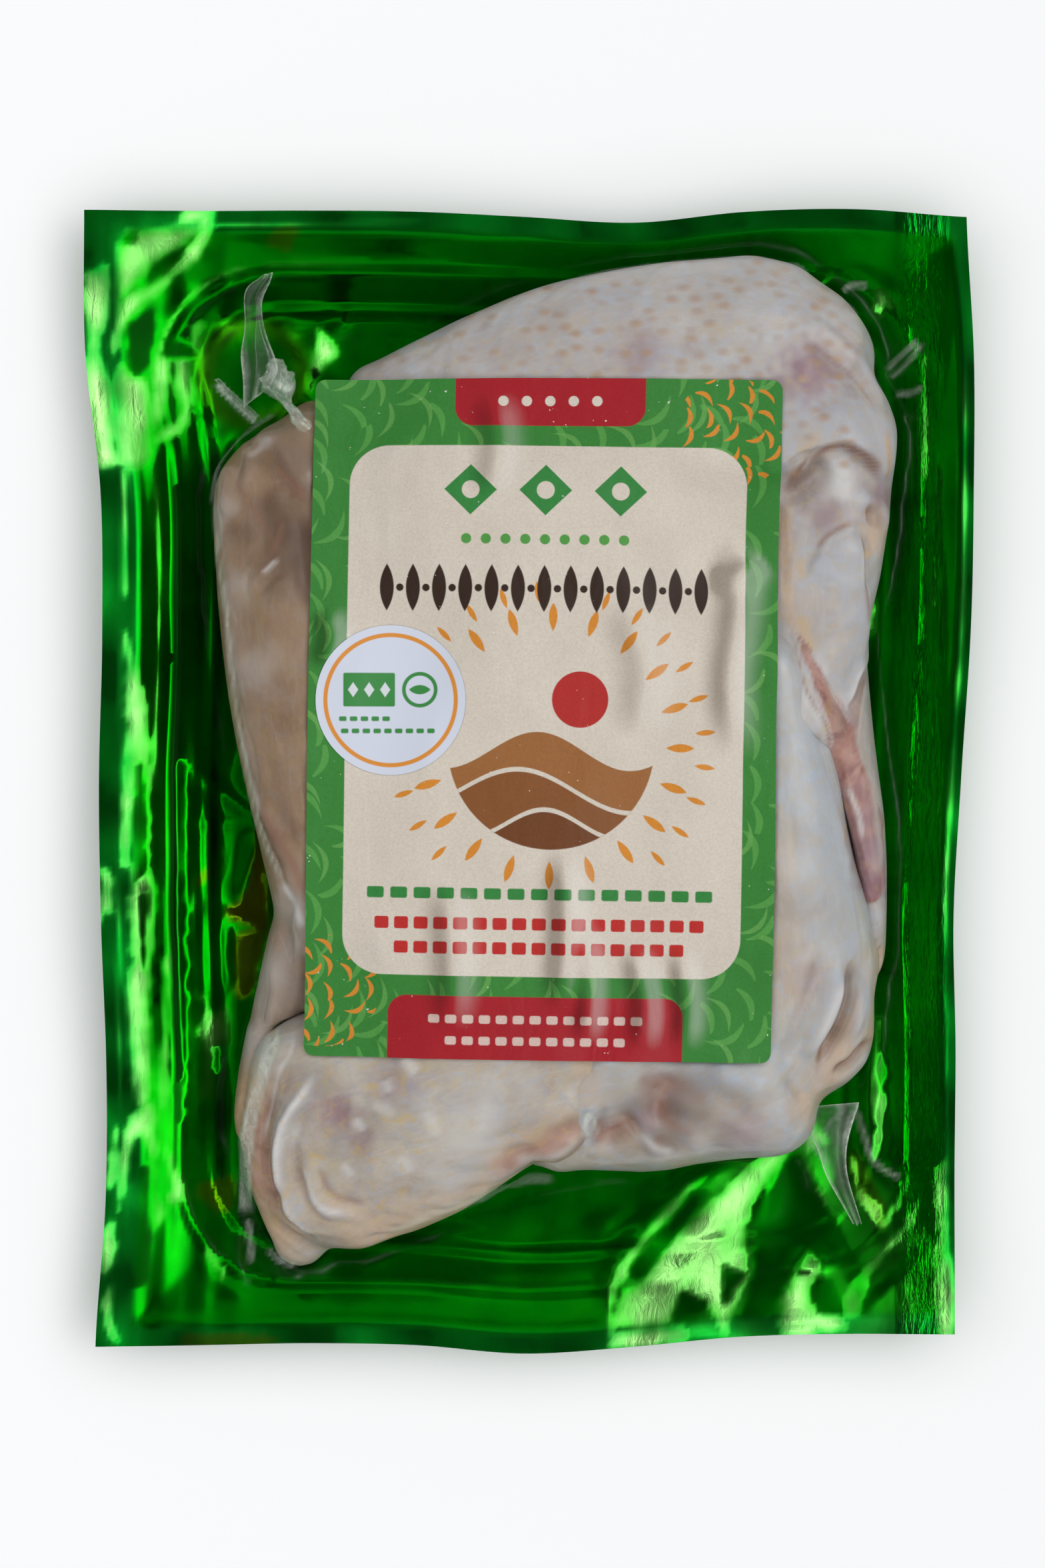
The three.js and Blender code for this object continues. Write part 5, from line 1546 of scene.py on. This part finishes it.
def film_material(name, haze, attribute, haze_more, gloss, most_gloss, sealed=False):
    material, tree, shader = new_material(name)
    tree.nodes.remove(shader)
    here = object_places(tree)
    wrinkled = noise(tree, here, 2.5, 4, 0.6, 1.5)
    normal = bumps(tree, [(wrinkled, 0.05), (noise(tree, here, 9, 3, 0.5, 0.5), 0.15)])
    clear = node(tree, "ShaderNodeBsdfTransparent", {0: FILM_TINT})
    milk = node(tree, "ShaderNodeBsdfDiffuse", {"Color": FILM_MILK, "Normal": normal})
    shine = node(tree, "ShaderNodeBsdfGlossy", {
        "Color": WHITE, "Roughness": FILM_ROUGHNESS, "Normal": normal})
    fresnel = node(tree, "ShaderNodeFresnel", {"IOR": FILM_IOR, "Normal": normal})
    # The painted numbers: milky haze of loose film, and painted glints along folds and edges
    loose = painted(tree, attribute)
    milky = sums(tree, "MULTIPLY_ADD", loose, haze_more, haze)
    milky = sums(tree, "MULTIPLY", milky, ramp(tree, wrinkled, [(0.3, 0.5), (0.75, 1.5)]))
    glossy = sums(tree, "MINIMUM", sums(tree, "MULTIPLY", fresnel.outputs[0], gloss), most_gloss)
    if sealed:
        glossy = sums(tree, "MULTIPLY", glossy, painted(tree, "free"))
    glossy = sums(tree, "MULTIPLY_ADD", loose, 0.05, glossy)
    mixed = node(tree, "ShaderNodeMixShader", {0: milky, 1: clear.outputs[0], 2: milk.outputs[0]})
    mixed = node(tree, "ShaderNodeMixShader", {0: glossy, 1: mixed.outputs[0], 2: shine.outputs[0]})
    fill(tree, tree.nodes["Material Output"], {0: mixed.outputs[0]})
    return material


dress(film, film_material("clear_film", 0.0, "haze", 0.42, 0.6, 0.04, sealed=True))
loose_film = film_material("loose_film", 0.05, "edge", 0.6, 1.0, 0.2)
for strip in (ear, fold, knot, flap):
    dress(strip, loose_film)
print("film pieces:", [p.name for p in (film, ear, fold, knot, flap)])

# %% [markdown]
# ## The label's print
#
# The print is worked out in millimetres from the label's UV map. Every shape is a distance to its edge,
# made by Math nodes: below zero is inside. A small class lets Python's own signs add those nodes, so a
# round rectangle reads like a formula. The label is generic: a green border with leaves, a cream panel,
# red tabs, rows of plain ornaments, and a sun with rays over hills.

# %% Shapes as distances
class Field:
    """A number that varies over the surface, built by Math nodes."""

    def __init__(self, tree, socket):
        self.tree, self.socket = tree, socket

    def use(self, operation, *others, clamp=False):
        values = [o.socket if isinstance(o, Field) else o for o in (self, *others)]
        return Field(self.tree, sums(self.tree, operation, *values, clamp=clamp))

    def __add__(self, other):
        return self.use("ADD", other)

    def __sub__(self, other):
        return self.use("SUBTRACT", other)

    def __mul__(self, other):
        return self.use("MULTIPLY", other)

    def __truediv__(self, other):
        return self.use("DIVIDE", other)

    def abs(self):
        return self.use("ABSOLUTE")

    def lowest(self, other):
        return self.use("MINIMUM", other)

    def highest(self, other):
        return self.use("MAXIMUM", other)

    def repeat(self, period):
        """The place within a cell, from minus half the period to plus half."""
        return self.use("WRAP", period / 2, -period / 2)

    def inked(self, edge=0.1):
        """1 inside the shape and 0 outside, with a fine soft edge."""
        return (self * (-0.5 / edge)).use("ADD", 0.5, clamp=True)


def parts_of(tree, vector):
    """The x, y and z of a vector."""
    return [Field(tree, part) for part in node(tree, "ShaderNodeSeparateXYZ", {0: vector}).outputs]


def length_of(a, b):
    return (a * a + b * b).use("SQRT")


def round_box(x, y, middle, half, radius):
    dx = (x - middle[0]).abs() - (half[0] - radius)
    dy = (y - middle[1]).abs() - (half[1] - radius)
    outer = length_of(dx.highest(0.0), dy.highest(0.0))
    return outer + dx.highest(dy).lowest(0.0) - radius


def disc(x, y, middle, radius):
    return length_of(x - middle[0], y - middle[1]) - radius


def lens(x, y, half_length, half_width):
    """A leaf: pointed at both ends along x."""
    bulge = (half_length**2 - half_width**2) / (2 * half_width)
    return length_of(x, y.abs() + bulge) - (bulge + half_width)


def lozenge(x, y, half_x, half_y):
    return (x.abs() / half_x + y.abs() / half_y - 1) * min(half_x, half_y)


# %% Leaves scattered over the border
def leaves(tree, vector, cell, half_length, half_width, looseness):
    """Leaf shapes, one in each Voronoi cell, each turned its own way."""
    sockets = {"Vector": vector, "Scale": 1 / cell, "Randomness": looseness}
    cells = node(tree, "ShaderNodeTexVoronoi", sockets, feature="F1", voronoi_dimensions="2D")
    sockets = {0: vector, 1: cells.outputs["Position"]}
    off = node(tree, "ShaderNodeVectorMath", sockets, operation="SUBTRACT")
    chance = node(tree, "ShaderNodeSeparateColor", {0: cells.outputs["Color"]}).outputs[0]
    sockets = {"Vector": off.outputs[0], "Angle": sums(tree, "MULTIPLY_ADD", chance, 2.2, 0.5)}
    turned = node(tree, "ShaderNodeVectorRotate", sockets, rotation_type="Z_AXIS")
    x, y, _ = parts_of(tree, turned.outputs[0])
    return lens(x, y + x * x * (0.5 / half_length), half_length, half_width)


# %% The label's colours and print
GREEN, LEAF, PALE_LEAF = linear(52, 126, 50), linear(78, 148, 66), linear(98, 160, 78)
CREAM, RED, BROWN = linear(206, 197, 184), linear(160, 22, 34), linear(52, 36, 28)
OCHRE, TAN, BARK = linear(206, 132, 42), linear(150, 98, 52), linear(108, 62, 30)
BAR_GREEN, BAR_RED, BAR_PINK = linear(48, 128, 58), linear(182, 40, 36), linear(206, 180, 170)
HILL_BROWN, SUN_RED, SPECK = linear(130, 80, 40), linear(172, 40, 36), linear(214, 214, 210)
SCREEN, WEAR = linear(90, 80, 66), linear(150, 130, 110)
# Painted shade and painted light for the two flanks of the label's creases
PAINTED_CREASE_SHADE, PAINTED_CREASE_LIGHT = linear(130, 115, 100), linear(232, 230, 226)
SUN_MIDDLE, SUN_RADIUS, RAYS, OUTER_RAYS = (52, 67), 22.0, 20, 28


def label_material():
    material, tree, shader = new_material("printed_label")
    uv = node(tree, "ShaderNodeUVMap", uv_map=label.data.uv_layers[0].name).outputs[0]
    here = node(tree, "ShaderNodeMapping", {0: uv, "Scale": (LABEL_WIDTH, LABEL_LENGTH, 1)}).outputs[0]
    u, v, _ = parts_of(tree, here)
    aside = u - 50
    colour = GREEN

    def print_on(shape, ink, share=1.0):
        nonlocal colour
        mask = shape.inked() if share == 1.0 else shape.inked() * share
        colour = blend_colours(tree, mask.socket, colour, ink)

    print_on(leaves(tree, here, 8.5, 5.2, 0.75, 0.75), LEAF)
    print_on(leaves(tree, here, 11.0, 4.6, 0.6, 0.9), PALE_LEAF, 0.7)
    for middle in ((89, 134), (4, 14)):
        spray = disc(u, v, middle, 12.0)
        print_on(leaves(tree, here, 4.4, 2.6, 0.5, 0.6).highest(spray), OCHRE)
    panel = round_box(u, v, (50.5, 74.4), (42.5, 56.6), 8.5)
    print_on(panel, CREAM)
    # The sun over hills, within a round picture
    frame_disc = disc(u, v, SUN_MIDDLE, SUN_RADIUS)
    wave_1 = v - 66 - (u * 0.16).use("SINE") * 4.0
    wave_2 = v - 58 - (u * 0.13 + 2.0).use("SINE") * 4.5
    wave_3 = v - 51 - (u * 0.2 + 4.0).use("SINE") * 3.0
    print_on(wave_1.highest(frame_disc), TAN)
    print_on(wave_2.highest(frame_disc), CREAM)
    print_on((wave_2 + 1.0).highest(frame_disc), HILL_BROWN)
    print_on(wave_3.highest(frame_disc), CREAM)
    print_on((wave_3 + 1.0).highest(frame_disc), BARK)
    print_on(disc(u, v, (58, 77), 6.0), SUN_RED)
    right, up = u - SUN_MIDDLE[0], v - SUN_MIDDLE[1]
    out, turn = length_of(right, up), up.use("ARCTAN2", right)
    print_on(lens(out - 27.5, (turn * 27.5).repeat(27.5 * math.tau / RAYS), 3.0, 0.9), OCHRE)
    outer_rays = lens(out - 33, (turn * 33.0 + 4.0).repeat(33 * math.tau / OUTER_RAYS), 2.2, 0.6)
    print_on(outer_rays.highest(v * -1 + 42), OCHRE)
    # Rows of plain ornament
    print_on(lozenge(aside.repeat(16.0), v - 121.5, 5.6, 5.4).highest(aside.abs() - 22), BAR_GREEN)
    print_on(disc(aside.repeat(16.0), v, (0, 121.5), 1.9).highest(aside.abs() - 22), CREAM)
    print_on(disc(aside.repeat(4.2), v, (0, 111), 1.1).highest(aside.abs() - 18.9), LEAF)
    print_on(lens(v - 100.5, aside.repeat(5.6), 5.0, 1.5).highest(aside.abs() - 36.4), BROWN)
    print_on(disc((u - 47.2).repeat(5.6), v, (0, 100.5), 0.8).highest(aside.abs() - 33.6), BROWN)
    for middle_v, half, height, period, ink in (
        (35.4, 37.5, 1.2, 5.0, BAR_GREEN), (29.0, 35.7, 1.3, 4.2, BAR_RED), (23.8, 31.5, 1.3, 4.2, BAR_RED),
    ):
        bars = round_box(aside.repeat(period), v, (0, middle_v), (period * 0.36, height), 0.5)
        print_on(bars.highest(aside.abs() - half), ink)
    # The red tabs
    print_on(round_box(u, v, (50.7, 142.5), (20.3, 7.2), 4.0), RED)
    print_on(disc((u - 50.7).repeat(5.0), v, (0, 140.6), 1.1).highest((u - 50.7).abs() - 12.5), CREAM)
    print_on(round_box(u, v, (49.5, 5.2), (31.5, 8.3), 4.0), RED)
    for middle_v, half in ((8.6, 23.4), (4.0, 19.8)):
        bars = round_box((u - 49.5).repeat(3.6), v, (0, middle_v), (1.2, 0.9), 0.5)
        print_on(bars.highest((u - 49.5).abs() - half), BAR_PINK)
    # Paper: a fine screen of ink, a little wear, specks, and painted shade and painted light on the two
    # flanks of each crease
    on_pack = object_places(tree)
    fine, broad = noise(tree, on_pack, 0.5, 2, 0.6), noise(tree, on_pack, 16, 3, 0.5)
    specks, painted_crease_shading = noise(tree, on_pack, 1.4, 2, 0.8), painted(tree, "painted_crease_shading")
    for pattern, stops, ink, mode in (
        (fine, [(0.35, 0), (0.75, 0.16)], SCREEN, "MULTIPLY"),
        (broad, [(0.4, 0), (0.75, 0.1)], WEAR, "MULTIPLY"),
        (specks, [(0.735, 0), (0.75, 0.8)], SPECK, "MIX"),
        (painted_crease_shading, [(0.53, 0), (0.95, 0.6)], PAINTED_CREASE_SHADE, "MULTIPLY"),
        (painted_crease_shading, [(0.05, 0.2), (0.46, 0)], PAINTED_CREASE_LIGHT, "MIX"),
    ):
        colour = blend_colours(tree, ramp(tree, pattern, stops), colour, ink, mode)
    wavy = noise(tree, object_places(tree, (1, 0.45, 1), 0.15), 11, 3, 0.5, 0.8)
    fill(tree, shader, {
        "Base Color": colour, "Roughness": ramp(tree, broad, [(0.3, 0.36), (0.7, 0.5)]),
        "Specular IOR Level": 0.3, "Normal": bumps(tree, [(fine, 0.03), (wavy, 0.7)]),
    })
    return material


dress(label, label_material())
print("label nodes:", len(label.data.materials[0].node_tree.nodes))

# %% [markdown]
# ## The sticker's print
#
# White paper with a thin ochre ring, a green rectangle, a green disc and two bars, measured from the
# sticker's centre in Object coordinates.

# %% The sticker's material
STICKER_WHITE, GAP_WHITE = linear(198, 203, 217), linear(200, 206, 210)


def sticker_material():
    material, tree, shader = new_material("printed_sticker")
    here = object_places(tree)
    x, y, _ = parts_of(tree, here)
    x, y = [axis * (1 / MM) - float(middle) for axis, middle in zip((x, y), STICKER_CENTRE)]
    colour = STICKER_WHITE

    def print_on(shape, ink):
        nonlocal colour
        colour = blend_colours(tree, shape.inked().socket, colour, ink)

    print_on(disc(x, y, (0, 0), 13.9).abs() - 0.45, OCHRE)
    print_on(round_box(x, y, (-4.6, 2.2), (5.5, 3.6), 0.4), BAR_GREEN)
    gaps = lozenge((x + 4.6).repeat(3.4), y - 2.2, 1.1, 1.6)
    print_on(gaps.highest((x + 4.6).abs() - 4.6), GAP_WHITE)
    print_on(disc(x, y, (6.2, 2.2), 3.4).abs() - 0.4, BAR_GREEN)
    print_on(lens(x - 6.2, y - 2.2, 2.3, 1.0), BAR_GREEN)
    for middle, half in (((-5.6, -4.0), 5.75), ((-0.6, -6.6), 10.35)):
        bars = round_box((x - middle[0]).repeat(2.3), y, (0, middle[1]), (0.8, 0.5), 0.3)
        print_on(bars.highest((x - middle[0]).abs() - half), BAR_GREEN)
    fine = noise(tree, here, 0.6, 2, 0.6)
    fill(tree, shader, {"Base Color": colour, "Normal": bumps(tree, [(fine, 0.03)]),
                        "Roughness": ramp(tree, fine, [(0.3, 0.4), (0.7, 0.5)])})
    return material


dress(sticker, sticker_material())
print("sticker nodes:", len(sticker.data.materials[0].node_tree.nodes))

# %% [markdown]
# ## What each piece stands for
#
# The pack has no moving part, so every piece rides on the one body. Each piece takes the place of the
# CAD solid that it was made for, which is hidden. The table also lists a material slot for each piece,
# which nothing here uses.

# %% Riding and replacing
STANDS_FOR = [
    (foil, "foil", ["foil_tray"]),
    (film, "film", ["clear_film"]),
    (ear, "film", ["clear_film"]),
    (fold, "film", ["clear_film"]),
    (knot, "film", ["clear_film"]),
    (flap, "film", ["clear_film"]),
    (wings["upper"], "skin", ["wing_upper"]),
    (wings["right"], "skin", ["wing_right"]),
    (wings["lower"], "skin", ["wing_lower"]),
    (wings["left"], "skin", ["wing_left"]),
    (label, "label", ["paper_label"]),
    (sticker, "sticker", ["round_sticker"]),
]
for piece, slot, nodes in STANDS_FOR:
    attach(piece, "root")
    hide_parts(*nodes)
print(len(STANDS_FOR), "pieces")

# %% [markdown]
# ## Floor, light and surroundings
#
# A mirror-like tray shows its surroundings, so these decide its look. From above, flat foil mirrors what
# hangs straight over it, which is dark here, and slopes mirror the bright sides. So the sky is dark at
# the top and brighter lower down, with the round glow of a window at one side. A large soft panel hangs
# overhead and a weak one stands at the left: the soft shade round the pack comes from them.

# %% The floor
clear_selection()
bpy.ops.mesh.primitive_plane_add(size=6, location=(0, 0, 0))
floor = bpy.context.object
floor.name = "floor"
material, tree, shader = new_material("pale_floor")
fill(tree, shader, {"Base Color": linear(244, 245, 246), "Roughness": 0.8, "Specular IOR Level": 0.1})
dress(floor, material)

# %% The sky and the panels
HIGH_RING = [(0.5, 0.0), (0.62, 0.8), (0.84, 0.8), (0.93, 0.0)]
HIGH_SIDES = [(0.0, 0.08), (0.5, 0.45), (1.0, 1.0)]
LOW_RING = [(0.0, 0.28), (0.55, 0.26), (0.95, 0.27), (1.0, 0.27)]
LOW_SIDES = [(0.0, 0.4), (0.5, 0.9), (0.75, 1.0), (1.0, 1.0)]
WINDOW_GLOW, WINDOW_TIGHTNESS = 2.4, 22
PANELS = [
    # place in metres, width, length, watts
    ((-0.1, 0.0, 1.15), 2.6, 2.8, 21.0),
    ((-0.95, 0.1, 0.72), 0.5, 0.9, 0.8),
]

world = bpy.context.scene.world or bpy.data.worlds.new("studio")
bpy.context.scene.world = world
world.use_nodes = True
tree = world.node_tree
tree.nodes.clear()
direction = node(tree, "ShaderNodeTexCoord").outputs["Generated"]
right, up, level = parts_of(tree, direction)
reach = (level * level * -1 + 1.0001).use("SQRT")
to_side = (right / reach * 0.5 + 0.5).socket
high = Field(tree, ramp(tree, level.socket, HIGH_RING)) * Field(tree, ramp(tree, to_side, HIGH_SIDES))
low = Field(tree, ramp(tree, level.socket, LOW_RING)) * Field(tree, ramp(tree, to_side, LOW_SIDES))
way = [float(v) for v in WINDOW / np.linalg.norm(WINDOW)]
towards_window = level * way[2] + right * way[0] + up * way[1]
glow = towards_window.highest(0.0).use("POWER", WINDOW_TIGHTNESS) * WINDOW_GLOW
background = node(tree, "ShaderNodeBackground", {"Strength": (high + low + glow).socket})
node(tree, "ShaderNodeOutputWorld", {0: background.outputs[0]})

for number, (place, width, length, watts) in enumerate(PANELS):
    clear_selection()
    bpy.ops.object.light_add(type="AREA", location=place)
    panel = bpy.context.object
    panel.name = f"panel_{number + 1}"
    panel.data.shape = "RECTANGLE"
    panel.data.size, panel.data.size_y = width, length
    panel.data.energy = watts
    panel.visible_glossy = False
    back = np.array(place) / np.linalg.norm(place)
    panel.rotation_euler = (math.acos(back[2]), 0, math.atan2(back[1], back[0]) + math.pi / 2)
scene = bpy.context.scene
scene.view_settings.view_transform = "Standard"
scene.view_settings.exposure = 0.0
print(len(PANELS), "panels")
